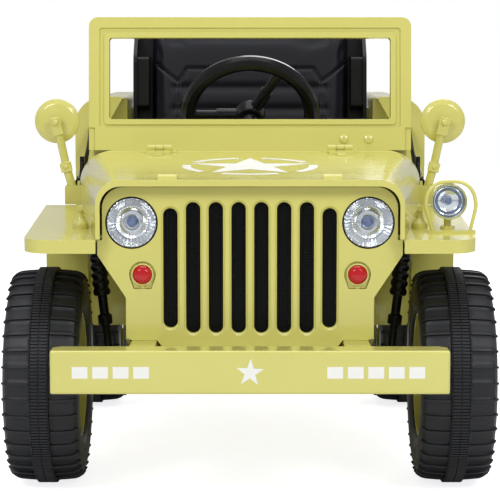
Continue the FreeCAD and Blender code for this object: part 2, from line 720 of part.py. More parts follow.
def flare(station):
    """Half width inside the door skin, which widens from the cowl to the rear quarter."""
    share = (station - DOOR_FRONT) / (POD_FRONT + POD_LAP - DOOR_FRONT)
    return COWL_HALF - WALL + share * (FLANK_HALF - COWL_HALF)


def body_floor():
    inner = COWL_HALF - WALL
    half = [(inner, TOE_BOARD + WALL), (inner, DOOR_FRONT), (flare(POD_FRONT), POD_FRONT),
            (POD_INNER, POD_FRONT), (POD_INNER, POD_REAR - WALL)]
    return plate(symmetric(half), 0, plan_view(RAIL_TOP), vec(0, 0, WALL))


def arch(half, low, top, shoulder, station, sweep):
    """A sheet with two round upper corners, standing across the car."""
    return plate(symmetric([(half, low), (half, top)]), [0, shoulder, shoulder, 0], front_view(station),
                 vec(0, sweep, 0))


def toe_board():
    """Bulkhead between the nose and the footwell, round at its upper corners."""
    top = COWL_TOP - WALL - SEAT_GAP
    return arch(COWL_HALF - WALL, RAIL_TOP, top, COWL_SHOULDER - WALL, TOE_BOARD, WALL)


def scoop(wall):
    """Recess in the rear quarter's front beside the seat; wall widens it for the inner side."""
    corners = [(POD_INNER - 1.0, SCOOP_TOP + wall), (SCOOP_NARROW + wall, SCOOP_TOP + wall),
               (SCOOP_WIDE + wall, SCOOP_KNEE), (SCOOP_WIDE + wall, SCOOP_BOTTOM - wall),
               (POD_INNER - 1.0, SCOOP_BOTTOM - wall)]
    return plate(corners, 0, front_view(POD_FRONT - 1.0), vec(0, SCOOP_DEPTH + wall + 1.0, 0))


def body_side():
    """Left side: cowl cheek, door cut-out with sill, and the rear quarter over the wheel."""
    skin_end = POD_FRONT + POD_LAP
    outer_line = [(COWL_HALF, TOE_BOARD), (COWL_HALF, DOOR_FRONT), (FLANK_HALF, skin_end),
                  (FLANK_HALF - WALL, skin_end), (COWL_HALF - WALL, DOOR_FRONT),
                  (COWL_HALF - WALL, TOE_BOARD)]
    band = plate(outer_line, 0, plan_view(RAIL_TOP), vec(0, 0, POD_TOP - RAIL_TOP))
    view = [(TOE_BOARD, RAIL_TOP), (skin_end, RAIL_TOP), (skin_end, SILL_TOP + DOOR_REAR_RISE),
            (POD_FRONT - DOOR_REAR_REACH, SILL_TOP), (DOOR_FRONT + DOOR_FRONT_REACH, SILL_TOP),
            (DOOR_FRONT, COWL_SIDE_TOP), (TOE_BOARD, COWL_SIDE_TOP)]
    skin = band.common(plate(view, [0, 0, 0, DOOR_REAR_ROUND, DOOR_FRONT_ROUND, 0, 0], side_view(0),
                             vec(FLANK_HALF + WALL, 0, 0)))
    pod = plate(box_corners(POD_INNER, FLANK_HALF, RAIL_TOP, POD_TOP), [0, 0, POD_SHOULDER, POD_INNER_EDGE],
                front_view(POD_FRONT), vec(0, POD_REAR - POD_FRONT, 0))
    hollow = plate(box_corners(POD_INNER + WALL, FLANK_HALF - WALL, RAIL_TOP - WALL, POD_TOP - WALL),
                   [0, 0, POD_SHOULDER - WALL, POD_INNER_EDGE - WALL], front_view(POD_FRONT + WALL),
                   vec(0, POD_REAR - POD_FRONT - 2 * WALL, 0))
    pod = pod.cut(scoop(0.0)).cut(hollow.cut(scoop(WALL)))
    wheel_arch = rod(at(POD_INNER + WALL + BAY_WALL, WHEELBASE, AXLE_HEIGHT),
                     at(FLANK_HALF + WALL, WHEELBASE, AXLE_HEIGHT), WHEEL_ARCH_RADIUS)
    return pod.fuse(skin).cut(wheel_arch).removeSplitter()


def rear_panel():
    """Tail wall between the quarters, with the spare wheel's boss and stud."""
    wall = block(-POD_INNER, POD_INNER, POD_REAR - WALL, POD_REAR, RAIL_TOP, TAIL_TOP)
    wall = wall.makeFillet(TAIL_EDGE, [e for e in wall.Edges if abs(e.BoundBox.ZMin - TAIL_TOP) < 0.01
                                       and e.BoundBox.XLength > POD_INNER])
    boss = rod(at(0, POD_REAR - 1, SPARE_Z), at(0, POD_REAR + SPARE_GAP + HUB_INSET - SEAT_GAP, SPARE_Z),
               SPARE_BOSS)
    stud = rod(at(0, POD_REAR, SPARE_Z), at(0, POD_REAR + SPARE_GAP + stub_length(), SPARE_Z), AXLE_RADIUS)
    return wall.fuse(boss).fuse(stud).removeSplitter()


def cowl():
    """Arched panel behind the hood that carries the windscreen."""
    length = COWL_REAR - TOE_BOARD
    outer = arch(COWL_HALF, COWL_SIDE_TOP, COWL_TOP, COWL_SHOULDER, TOE_BOARD, length)
    inner = arch(COWL_HALF - WALL, COWL_SIDE_TOP, COWL_TOP - WALL, COWL_SHOULDER - WALL, TOE_BOARD, length)
    return outer.cut(inner)


def dash_panel():
    half = [(COWL_HALF - WALL, DASH_BOTTOM), (COWL_HALF - WALL, COWL_SIDE_TOP), (DASH_NARROW, DASH_TOP)]
    radii = [DASH_FOOT_ROUND, 0, DASH_TOP_ROUND]
    return plate(symmetric(half), radii + radii[::-1], front_view(COWL_REAR), vec(0, DASH_DEPTH, 0))


def windscreen_frame():
    """Open frame, raked back: round outer band, band round the window, lower panel with two knobs."""
    front = SCREEN_STATION - SCREEN_THICK / 2.0

    def place(u, v):
        return at(u, front, COWL_TOP + v)
    sweep = vec(0, SCREEN_THICK, 0)
    panel = plate(symmetric([(SCREEN_HALF, -SCREEN_FOOT), (SCREEN_HALF, SCREEN_HEIGHT)]),
                  [0, SCREEN_CORNER, SCREEN_CORNER, 0], place, sweep)
    hole = symmetric([(WINDOW_HALF, WINDOW_LOW), (WINDOW_HALF, WINDOW_HIGH)])
    band = symmetric([(WINDOW_HALF + WINDOW_BAND, WINDOW_LOW - WINDOW_BAND),
                      (WINDOW_HALF + WINDOW_BAND, WINDOW_HIGH + WINDOW_BAND)])
    edge = symmetric([(SCREEN_HALF - SCREEN_BAND, SCREEN_PANEL_TOP),
                      (SCREEN_HALF - SCREEN_BAND, SCREEN_HEIGHT - SCREEN_BAND)])
    groove = plate(edge, WINDOW_CORNER, place, vec(0, SCREEN_GROOVE, 0))
    panel = panel.cut(groove.cut(plate(band, WINDOW_CORNER + 2.0, place, sweep)))
    for side in (-1, 1):
        step = [(side * SCREEN_PANEL_HALF, SCREEN_PANEL_TOP), (side * (SCREEN_HALF + 1.0), SCREEN_PANEL_TOP),
                (side * (SCREEN_HALF + 1.0), -SCREEN_FOOT), (side * SCREEN_PANEL_HALF, -SCREEN_FOOT)]
        panel = panel.cut(plate(step, 0, place, vec(0, SCREEN_GROOVE, 0)))
    panel = panel.cut(plate(hole, WINDOW_CORNER, place, sweep))
    for x in KNOB_PLACES:
        knob = turned([(-SCREEN_GROOVE, 0), (-SCREEN_GROOVE, KNOB_RADIUS), (KNOB_PROUD / 2, KNOB_RADIUS),
                       (KNOB_PROUD, 0)], at(x, front, COWL_TOP + KNOB_HEIGHT), vec(0, -1, 0))
        panel = panel.fuse(knob)
    panel.rotate(at(0, SCREEN_STATION, COWL_TOP), vec(1, 0, 0), -SCREEN_RAKE)
    below = block(-COWL_HALF, COWL_HALF, TOE_BOARD, COWL_REAR + DASH_DEPTH, COWL_TOP - COWL_SHOULDER,
                  COWL_TOP)
    return panel.cut(below).removeSplitter()


def fender():
    """Flat left front fender: turned-down lip, round outer corner and a skirt behind the wheel."""
    inner_front = GRILLE_EAR_HALF + 1.0
    inner = BAY_HALF - BAY_WALL

    def plan(inset):
        rear = TOE_BOARD + inset * FENDER_ENDS
        return [(inner_front, HOOD_FRONT + inset), (FENDER_FRONT_OUT - inset, HOOD_FRONT + inset),
                (FENDER_REAR_OUT - inset, rear), (inner, rear), (inner, LAMP_BACK), (inner_front, LAMP_BACK)]

    def sloped(drop, depth):
        start, stop = HOOD_FRONT - FENDER_LIP, TOE_BOARD + FENDER_WALL * (FENDER_ENDS + 1.0)
        corners = [(start, fender_top(start) - drop), (stop, fender_top(stop) - drop),
                   (stop, fender_top(stop) - depth), (start, fender_top(start) - depth)]
        return plate(corners, 0, side_view(0), vec(FENDER_REAR_OUT + FENDER_WALL, 0, 0))

    low, height = FENDER_FRONT_TOP - 3 * FENDER_LIP, 6 * FENDER_LIP
    body = plate(plan(0.0), [0, FENDER_CORNER, 0, 0, 0, 0], plan_view(low), vec(0, 0, height))
    room = plate(plan(FENDER_WALL), [0, FENDER_CORNER - FENDER_WALL, 0, 0, 0, 0], plan_view(low),
                 vec(0, 0, height))
    room = room.common(sloped(FENDER_WALL, FENDER_LIP + FENDER_WALL))
    shell = body.common(sloped(0, FENDER_LIP)).cut(room)
    rear, top = TOE_BOARD - EASY_GAP, fender_top(TOE_BOARD) - FENDER_WALL / 2.0
    skirt = plate([(COWL_HALF - 2 * WALL, SKIRT_BOTTOM), (FENDER_REAR_OUT, SKIRT_BOTTOM),
                   (FENDER_REAR_OUT, top), (COWL_HALF - 2 * WALL, top)], [0, SKIRT_ROUND, 0, 0],
                  front_view(rear - FENDER_WALL), vec(0, FENDER_WALL, 0))
    return shell.fuse(skirt).common(plate(plan(0.0), [0, FENDER_CORNER, 0, 0, 0, 0], plan_view(0.0),
                                          vec(0, 0, low + height))).removeSplitter()


def engine_bay():
    """Tray under the hood: a floor on the rails and two walls up to the fenders."""
    floor_front = BUMPER_BACK + HORN_LENGTH + HORN_SLOPE
    lamp_low = HEADLAMP_Z - HEADLAMP_RADIUS - EASY_GAP * 4
    corners = [(GRILLE_BACK, GRILLE_BOTTOM), (floor_front, RAIL_TOP), (TOE_BOARD, RAIL_TOP),
               (TOE_BOARD, fender_top(TOE_BOARD) - FENDER_WALL),
               (LAMP_BACK, fender_top(LAMP_BACK) - FENDER_WALL), (LAMP_BACK, lamp_low),
               (GRILLE_BACK, lamp_low)]
    wall = plate(corners, 0, side_view(BAY_HALF - BAY_WALL), vec(BAY_WALL, 0, 0))
    floor = block(-BAY_HALF, BAY_HALF, floor_front, TOE_BOARD, RAIL_TOP, RAIL_TOP + BAY_WALL)
    return floor.fuse(wall).fuse(mirrored(wall)).removeSplitter()


def battery_block():
    width, length, height = BATTERY_SIZE
    low = RAIL_TOP + BAY_WALL
    case = block(-width / 2, width / 2, BATTERY_FRONT, BATTERY_FRONT + length, low, low + height)
    return case.makeFillet(BATTERY_EDGE, case.Edges)


def along_hood(station, front, rear):
    """A hood size between its values at the nose and at the cowl."""
    return front + (rear - front) * (station - HOOD_FRONT) / (HOOD_REAR - HOOD_FRONT)


def hood_half(station):
    return along_hood(station, HOOD_FRONT_HALF, COWL_HALF)


def hood_top(station):
    return along_hood(station, HOOD_FRONT_TOP, COWL_TOP - EASY_GAP)


def hood_profile(station, top_wall, side_wall):
    """Closed outline of the hood's bent sheet at one place."""
    half, top = hood_half(station), hood_top(station)
    shoulder = along_hood(station, HOOD_FRONT_SHOULDER, COWL_SHOULDER)
    low = fender_top(station) + EASY_GAP
    outer = [(half, low), (half, top), (-half, top), (-half, low)]
    inner = [(-half + side_wall, low), (-half + side_wall, top - top_wall),
             (half - side_wall, top - top_wall), (half - side_wall, low)]
    inside = shoulder - side_wall
    return outline(outer + inner, [0, shoulder, shoulder, 0, 0, inside, inside, 0], front_view(station))


def hood():
    """Deep tapered hood: one folded sheet with a thicker front lip and two windscreen rests."""
    sheet = Part.makeLoft([hood_profile(HOOD_FRONT, HOOD_WALL, HOOD_WALL),
                           hood_profile(HOOD_REAR, HOOD_WALL, HOOD_WALL)], True, True)
    lip_end = HOOD_FRONT + HOOD_LIP_LENGTH
    lip = Part.makeLoft([hood_profile(HOOD_FRONT, HOOD_LIP_DEPTH, HOOD_LIP_SIDE),
                         hood_profile(lip_end, HOOD_LIP_DEPTH, HOOD_LIP_SIDE)], True, True)
    shape = sheet.fuse(lip)
    low = HOOD_FRONT_TOP - HOOD_WALL / 2.0
    top = hood_top(REST_STATION) + REST_HEIGHT
    rise = REST_LENGTH / 2.0
    view = [(REST_STATION - rise, low), (REST_STATION + rise, low), (REST_STATION + rise, top),
            (REST_STATION - rise, top)]
    for x in (-REST_X, REST_X):
        rest = plate(view, [0, 0, REST_HEIGHT - 1.0, REST_HEIGHT - 1.0], side_view(x - REST_WIDTH / 2.0),
                     vec(REST_WIDTH, 0, 0))
        shape = shape.fuse(rest)
    return shape.removeSplitter()


def hinge_axis():
    return (HOOD_REAR + TOE_BOARD) / 2.0, COWL_TOP + HINGE_RADIUS


def hinge_leaves(hood_shape):
    """Hood and cowl halves of the two three-knuckle hinges; the pin is on the cowl's half."""
    y, z = hinge_axis()
    half = HINGE_HALF
    barrel = HINGE_RADIUS - SEAT_GAP
    leaf_top = COWL_TOP + HINGE_LEAF
    hood_side, cowl_side = [], []
    for x in (-HINGE_X, HINGE_X):
        inner, outer = HINGE_KNUCKLE / 2 - EASY_GAP, HINGE_KNUCKLE / 2 + EASY_GAP
        middle = rod(at(x - inner, y, z), at(x + inner, y, z), barrel)
        pin = rod(at(x - half, y, z), at(x + half, y, z), HINGE_PIN_RADIUS)
        leaf = block(x - half, x + half, y + HINGE_RADIUS + 1, y + HINGE_COWL_LEAF, COWL_TOP, leaf_top)
        link = block(x - inner, x + inner, y + HINGE_LINK_START, y + HINGE_RADIUS + 2, COWL_TOP, leaf_top)
        cowl_side.append(middle.fuse([pin, leaf, link]).removeSplitter())
        fall = hood_top(HOOD_REAR) - hood_top(HOOD_REAR - HINGE_HOOD_LEAF)
        corners = [(y, COWL_TOP - HINGE_BED), (y, leaf_top), (y - HINGE_HOOD_LEAF, leaf_top - fall),
                   (y - HINGE_HOOD_LEAF, COWL_TOP - HINGE_BED - fall)]
        flap = plate(corners, 0, side_view(x - half), vec(2 * half, 0, 0))
        flap = flap.cut(block(x - outer, x + outer, y - HINGE_RADIUS - 1, y + 1, COWL_TOP - HINGE_TRIM,
                              COWL_TOP + HINGE_TRIM))
        flap = flap.cut(block(x - half, x + half, HOOD_REAR, TOE_BOARD, COWL_TOP - HINGE_TRIM, COWL_TOP))
        knuckles = [rod(at(x + s * outer, y, z), at(x + s * half, y, z), barrel) for s in (-1, 1)]
        bore = rod(at(x - half - 1, y, z), at(x + half + 1, y, z), HINGE_PIN_RADIUS + RUN_GAP)
        hood_side.append(flap.fuse(knuckles).cut(bore).cut(hood_shape).removeSplitter())
    return Part.makeCompound(hood_side), Part.makeCompound(cowl_side)


def slot_places():
    first = -(SLOT_COUNT - 1) / 2.0 * SLOT_PITCH
    for i in range(SLOT_COUNT):
        end = i in (0, SLOT_COUNT - 1)
        low, high = (END_SLOT_LOW, END_SLOT_HIGH) if end else (SLOT_LOW, SLOT_HIGH)
        yield first + i * SLOT_PITCH, low, high


def slot_cutter(x, low, high):
    """A round-ended slot through the grille, its front edge bevelled."""
    def round_end(grow, station):
        reach = SLOT_WIDTH / 2.0 + grow
        return outline(box_corners(x - reach, x + reach, low - grow, high + grow), [reach] * 4,
                       front_view(station))
    through = Part.Face(round_end(0.0, GRILLE_FRONT)).extrude(vec(0, GRILLE_THICK, 0))
    bevel = [round_end(SLOT_BEVEL, GRILLE_FRONT), round_end(0.0, GRILLE_FRONT + SLOT_BEVEL)]
    return through.fuse(Part.makeLoft(bevel, True))


def marker_seat(side, shrink):
    """Horseshoe outline round a marker lamp, through the grille's thickness."""
    centre = side * MARKER_X
    radius = MARKER_RADIUS - shrink
    sweep = vec(0, GRILLE_THICK, 0)
    round_part = rod(at(centre, GRILLE_FRONT, MARKER_Z), at(centre, GRILLE_BACK, MARKER_Z), radius)
    foot = MARKER_Z - MARKER_DROP + shrink
    tilt = radius * 0.35
    skirt = [(centre - MARKER_BOTTOM_HALF + shrink, foot), (centre + MARKER_BOTTOM_HALF - shrink, foot),
             (centre + math.sqrt(radius ** 2 - tilt ** 2), MARKER_Z - tilt),
             (centre - math.sqrt(radius ** 2 - tilt ** 2), MARKER_Z - tilt)]
    return round_part.fuse(plate(skirt, 0, front_view(GRILLE_FRONT), sweep)).removeSplitter()


def grille_panel():
    """Slotted face with lamp openings, ears under the hood's corners and a lower apron."""
    half = [(GRILLE_APRON_HALF, GRILLE_APRON_BOTTOM), (RAIL_INNER, GRILLE_BOTTOM),
            (GRILLE_LOWER_HALF, GRILLE_BOTTOM), (GRILLE_LOWER_HALF, GRILLE_LOWER_TOP),
            (GRILLE_EAR_HALF, GRILLE_EAR_BOTTOM), (GRILLE_EAR_HALF, GRILLE_EAR_TOP),
            (GRILLE_UPPER_HALF, GRILLE_EAR_TOP), (GRILLE_UPPER_HALF, GRILLE_TOP)]
    radii = [6, 0, 8, 10, 6, 0, 0, GRILLE_TOP_ROUND]
    panel = plate(symmetric(half), radii + radii[::-1], front_view(GRILLE_FRONT), vec(0, GRILLE_THICK, 0))
    panel = panel.cut([slot_cutter(x, low, high) for x, low, high in slot_places()])
    for side in (-1, 1):
        centre = side * HEADLAMP_X
        hole = rod(at(centre, GRILLE_FRONT - 1, HEADLAMP_Z), at(centre, GRILLE_BACK + 1, HEADLAMP_Z),
                   HEADLAMP_RADIUS + SEAT_GAP)
        panel = panel.cut(hole).cut(marker_seat(side, 0.0))
    return panel


def grille_mesh():
    half = SLOT_REACH + MESH_MARGIN
    return block(-half, half, GRILLE_BACK, GRILLE_BACK + MESH_THICK, SLOT_LOW - MESH_LAP,
                 SLOT_HIGH + MESH_LAP)


def lamp_bowl(x, z, radius, front, depth):
    """Round cup, open to the front."""
    floor = radius - LAMP_ROUND
    return turned([(0, 0), (0, floor), (depth - LAMP_ROUND, radius), (depth, radius),
                   (depth, radius - LAMP_WALL), (depth - LAMP_ROUND + 1.0, radius - LAMP_WALL),
                   (LAMP_WALL, floor - LAMP_WALL), (LAMP_WALL, 0)],
                  at(x, front + depth, z), vec(0, -1, 0), [0, 4, 4, 0, 0, 3, 3, 0])


def lamp_lens(x, z, radius, front, bulge):
    """Domed lens that stands on the bowl's rim."""
    crown = LAMP_WALL + bulge
    return turned([(0, 0), (0, radius), (LAMP_WALL, radius), (LAMP_WALL + bulge * 0.7, radius * 0.6),
                   (crown, 0)], at(x, front, z), vec(0, -1, 0), [0, 0, 2, 12, 0])


def marker_housing():
    """Left marker's sunk back plate with a round ring on it and a stalk below the ring."""
    centre = at(MARKER_X, GRILLE_BACK, MARKER_Z)
    plate_part = marker_seat(1, SEAT_GAP)
    reach = 2 * MARKER_RADIUS
    front_part = block(MARKER_X - reach, MARKER_X + reach, GRILLE_FRONT, GRILLE_FRONT + MARKER_SINK,
                       MARKER_Z - reach, MARKER_Z + reach)
    back = plate_part.cut(front_part)
    length = GRILLE_THICK + MARKER_PROUD
    inside = MARKER_LENS_RADIUS + SEAT_GAP
    ring = turned([(0, 0), (0, MARKER_RING_RADIUS), (length, MARKER_RING_RADIUS), (length, inside),
                   (GRILLE_THICK / 2, inside), (GRILLE_THICK / 2, 0)], centre, vec(0, -1, 0),
                  [0, 0, 1, 0, 0, 0])
    room = rod(at(MARKER_X, GRILLE_BACK - GRILLE_THICK / 2, MARKER_Z), at(MARKER_X, GRILLE_FRONT, MARKER_Z),
               inside)
    stalk = block(MARKER_X - MARKER_STALK, MARKER_X + MARKER_STALK, GRILLE_FRONT + 1.0,
                  GRILLE_FRONT + MARKER_SINK, MARKER_Z - MARKER_DROP + SEAT_GAP,
                  MARKER_Z - MARKER_RING_RADIUS + 1.0)
    return back.fuse([ring, stalk]).cut(room).removeSplitter()


def marker_lamp():
    seat, lip = GRILLE_THICK / 2, GRILLE_THICK + MARKER_PROUD - 1.0
    return turned([(seat, 0), (seat, MARKER_LENS_RADIUS), (lip, MARKER_LENS_RADIUS),
                   (lip + MARKER_DOME * 0.8, MARKER_LENS_RADIUS * 0.62), (lip + MARKER_DOME, 0)],
                  at(MARKER_X, GRILLE_BACK, MARKER_Z), vec(0, -1, 0), [0, 0, 2, 3, 0])


def fog_lamp_bowl(fender_shape):
    """Round bowl on a short foot."""
    bowl = lamp_bowl(FOG_X, FOG_Z, FOG_RADIUS, FOG_STATION, FOG_DEPTH)
    station = FOG_FOOT_STATION
    low = fender_top(station) - FENDER_WALL / 2
    foot = rod(at(FOG_X, station, low), at(FOG_X, station, FOG_Z - FOG_RADIUS * 0.75), FOG_FOOT_RADIUS)
    base = rod(at(FOG_X, station, low), at(FOG_X, station, low + FOG_BASE_HEIGHT), FOG_BASE_RADIUS)
    inside = rod(at(FOG_X, FOG_STATION - FOG_DEPTH, FOG_Z), at(FOG_X, FOG_STATION + FOG_DEPTH - 4.0, FOG_Z),
                 FOG_RADIUS - 4.0)
    return bowl.fuse(foot.cut(inside)).fuse(base).cut(fender_shape).removeSplitter()


def fog_guard(fender_shape):
    """Bent wire hoop round the fog lamp, its feet on one plate on the fender."""
    y = GUARD_STATION
    low = fender_top(y) - FENDER_WALL / 2
    waist, top = FOG_Z - GUARD_WAIST_DROP, FOG_Z + GUARD_RISE
    corners = [(FOG_X - GUARD_FOOT_IN, low), (FOG_X - GUARD_WAIST_IN, waist), (FOG_X - GUARD_TOP_IN, top),
               (FOG_X + GUARD_TOP_OUT, top), (FOG_X + GUARD_WAIST_OUT, waist), (FOG_X + GUARD_FOOT_OUT, low)]
    bends = [0, GUARD_WAIST_BEND, GUARD_BEND, GUARD_BEND, GUARD_WAIST_BEND, 0]
    path = Part.Wire(rounded_edges(corners, bends, front_view(y), closed=False))
    start = at(FOG_X - GUARD_FOOT_IN, y, low)
    ring = Part.Wire(Part.makeCircle(GUARD_WIRE, start, vec(GUARD_FOOT_IN - GUARD_WAIST_IN, 0, waist - low)))
    hoop = path.makePipeShell([ring], True, True)
    foot = block(FOG_X - GUARD_PLATE_IN, FOG_X + GUARD_PLATE_OUT, y - GUARD_PLATE_HALF, y + GUARD_PLATE_HALF,
                 low, fender_top(y) + GUARD_PLATE_HEIGHT)
    return hoop.fuse(foot).cut(fender_shape).removeSplitter()


def hood_catch(fender_shape):
    """Left rubber pull catch beside the hood: bell foot, stem, T grip and hook."""
    x, y = hood_half(CATCH_STATION) + CATCH_GAP, CATCH_STATION
    low = fender_top(y) - FENDER_WALL / 2
    bell = turned([(0, 0), (0, CATCH_BASE), (CATCH_BASE_HEIGHT, CATCH_BASE), (CATCH_NECK_HEIGHT, CATCH_NECK),
                   (CATCH_HEIGHT - 6.0, CATCH_STEM), (CATCH_HEIGHT, CATCH_STEM), (CATCH_HEIGHT, 0)],
                  at(x, y, low), vec(0, 0, 1), [0, 0, 3, 3, 0, 0, 0])
    top = low + CATCH_HEIGHT
    grip = rod(at(x, y - CATCH_GRIP_HALF, top), at(x, y + CATCH_GRIP_HALF, top), CATCH_GRIP_RADIUS)
    hook = rod(at(x - CATCH_HOOK, y, low + CATCH_HOOK_LOW), at(x, y, low + CATCH_HOOK_HIGH),
               CATCH_HOOK_RADIUS)
    return bell.fuse([grip, hook]).cut(fender_shape).removeSplitter()


def mirror_arm():
    """Left block on the cowl's cheek and a two-piece arm up to the mirror head."""
    cheek = COWL_HALF
    foot = block(cheek, cheek + MIRROR_BLOCK_WIDTH, MIRROR_BLOCK_FRONT, MIRROR_BLOCK_REAR, MIRROR_BLOCK_LOW,
                 MIRROR_BLOCK_HIGH)
    foot = foot.makeFillet(MIRROR_BLOCK_EDGE, [e for e in foot.Edges if e.BoundBox.XMin > cheek + 1])
    start = at(cheek + ARM_FOOT_OUT, ARM_FOOT_STATION, MIRROR_BLOCK_HIGH - MIRROR_BLOCK_EDGE)
    elbow = at(cheek + ARM_ELBOW_OUT, ARM_ELBOW_STATION, ARM_ELBOW_Z)
    tip = at(cheek + ARM_TIP_OUT, ARM_TIP_STATION, ARM_TIP_Z)
    parts = [rod(start, elbow, ARM_LOWER_RADIUS), rod(elbow, tip, ARM_UPPER_RADIUS),
             Part.makeSphere(ARM_ELBOW_RADIUS, elbow)]
    return foot.fuse(parts).removeSplitter()


def mirror_head(arm):
    """Left round head: domed shell forward with a flat rim, seated on the arm's upper end."""
    head = turned([(0, 0), (0, MIRROR_RADIUS - 2.0), (MIRROR_RIM / 2, MIRROR_RADIUS),
                   (MIRROR_RIM, MIRROR_RADIUS), (MIRROR_RIM + 4.0, MIRROR_DOME_RADIUS), (MIRROR_THICK, 0)],
                  at(COWL_HALF + MIRROR_OUT, MIRROR_STATION, MIRROR_Z), vec(0, -1, 0),
                  [0, 1.5, 1.5, 2, 8, 0])
    pieces = head.cut(arm).Solids
    return max(pieces, key=lambda piece: piece.Volume)


def wheel_axis():
    slope = math.radians(WHEEL_SLOPE)
    return vec(0, math.cos(slope), math.sin(slope))


def steering_wheel():
    """Round rim, three stepped spokes, domed hub and the shaft into the column."""
    axis = wheel_axis()
    centre = at(0, WHEEL_STATION, WHEEL_Z)
    tube = [(WHEEL_TUBE * math.sin(math.tau * i / WHEEL_TUBE_SIDES),
             WHEEL_RING + WHEEL_TUBE * math.cos(math.tau * i / WHEEL_TUBE_SIDES))
            for i in range(WHEEL_TUBE_SIDES)]
    ring = turned(tube, centre, axis)
    narrow = WHEEL_HUB - HUB_SHOULDER
    hub = turned([(-HUB_BACK, 0), (-HUB_BACK, narrow), (HUB_SHOULDER, WHEEL_HUB), (WHEEL_TUBE, narrow),
                  (HUB_FRONT, 0)], centre, axis, [0, 3, 3, 8, 0])
    shape = ring.fuse(hub)
    up = axis.cross(vec(1, 0, 0))
    for turn in SPOKE_TURNS:
        angle = math.radians(turn)
        arm = up * -math.cos(angle) + vec(1, 0, 0) * math.sin(angle)
        thick = rod(centre + arm * (narrow - 2.0), centre + arm * SPOKE_STEP, SPOKE_THICK)
        thin = rod(centre + arm * SPOKE_STEP, centre + arm * WHEEL_RING, SPOKE_THIN)
        shape = shape.fuse([thick, thin])
    return shape.fuse(rod(centre - axis * SHAFT_LENGTH, centre, SHAFT_RADIUS)).removeSplitter()


def steering_column():
    """Tube from the dash up to just under the steering wheel's hub."""
    axis = wheel_axis()
    centre = at(0, WHEEL_STATION, WHEEL_Z)
    tube = rod(centre - axis * COLUMN_LENGTH, centre - axis * (HUB_BACK + COLUMN_GAP), COLUMN_RADIUS)
    tube = tube.cut(rod(centre - axis * (SHAFT_LENGTH + COLUMN_GAP), centre, SHAFT_RADIUS + RUN_GAP))
    face = COWL_REAR + DASH_DEPTH
    wide = COLUMN_RADIUS * 3
    return tube.cut(block(-wide, wide, face - COLUMN_LENGTH, face, DASH_BOTTOM, DASH_TOP + COLUMN_LENGTH))


def pedal():
    """Foot pedal on the toe board, hinged block and plate in one."""
    front = TOE_BOARD + WALL
    corners = [(front, PEDAL_HEEL), (front + PEDAL_REACH, PEDAL_HEEL - WALL),
               (front + PEDAL_REACH, PEDAL_HEEL + PEDAL_ROUND), (front + PEDAL_TOE_REACH, PEDAL_TOE),
               (front, PEDAL_TOE)]
    return plate(corners, [0, PEDAL_ROUND, PEDAL_ROUND, PEDAL_ROUND, 0], side_view(PEDAL_X),
                 vec(PEDAL_WIDTH, 0, 0))


def seat_riser():
    """Box under the seat, open below, closed by the floor."""
    low = RAIL_TOP + WALL
    half = POD_INNER - 1.0
    outer = block(-half, half, SEAT_FRONT, SEAT_REAR, low, SEAT_BASE_Z)
    room = block(-half + WALL, half - WALL, SEAT_FRONT + WALL, SEAT_REAR - WALL, low - 1,
                 SEAT_BASE_Z - WALL)
    return outer.cut(room)


def back_line(z):
    """Front face of the seat back at a height."""
    return SEAT_REAR - SEAT_WALL + SEAT_LEAN * (z - SEAT_BASE_Z) / (SEAT_TOP - SEAT_BASE_Z)


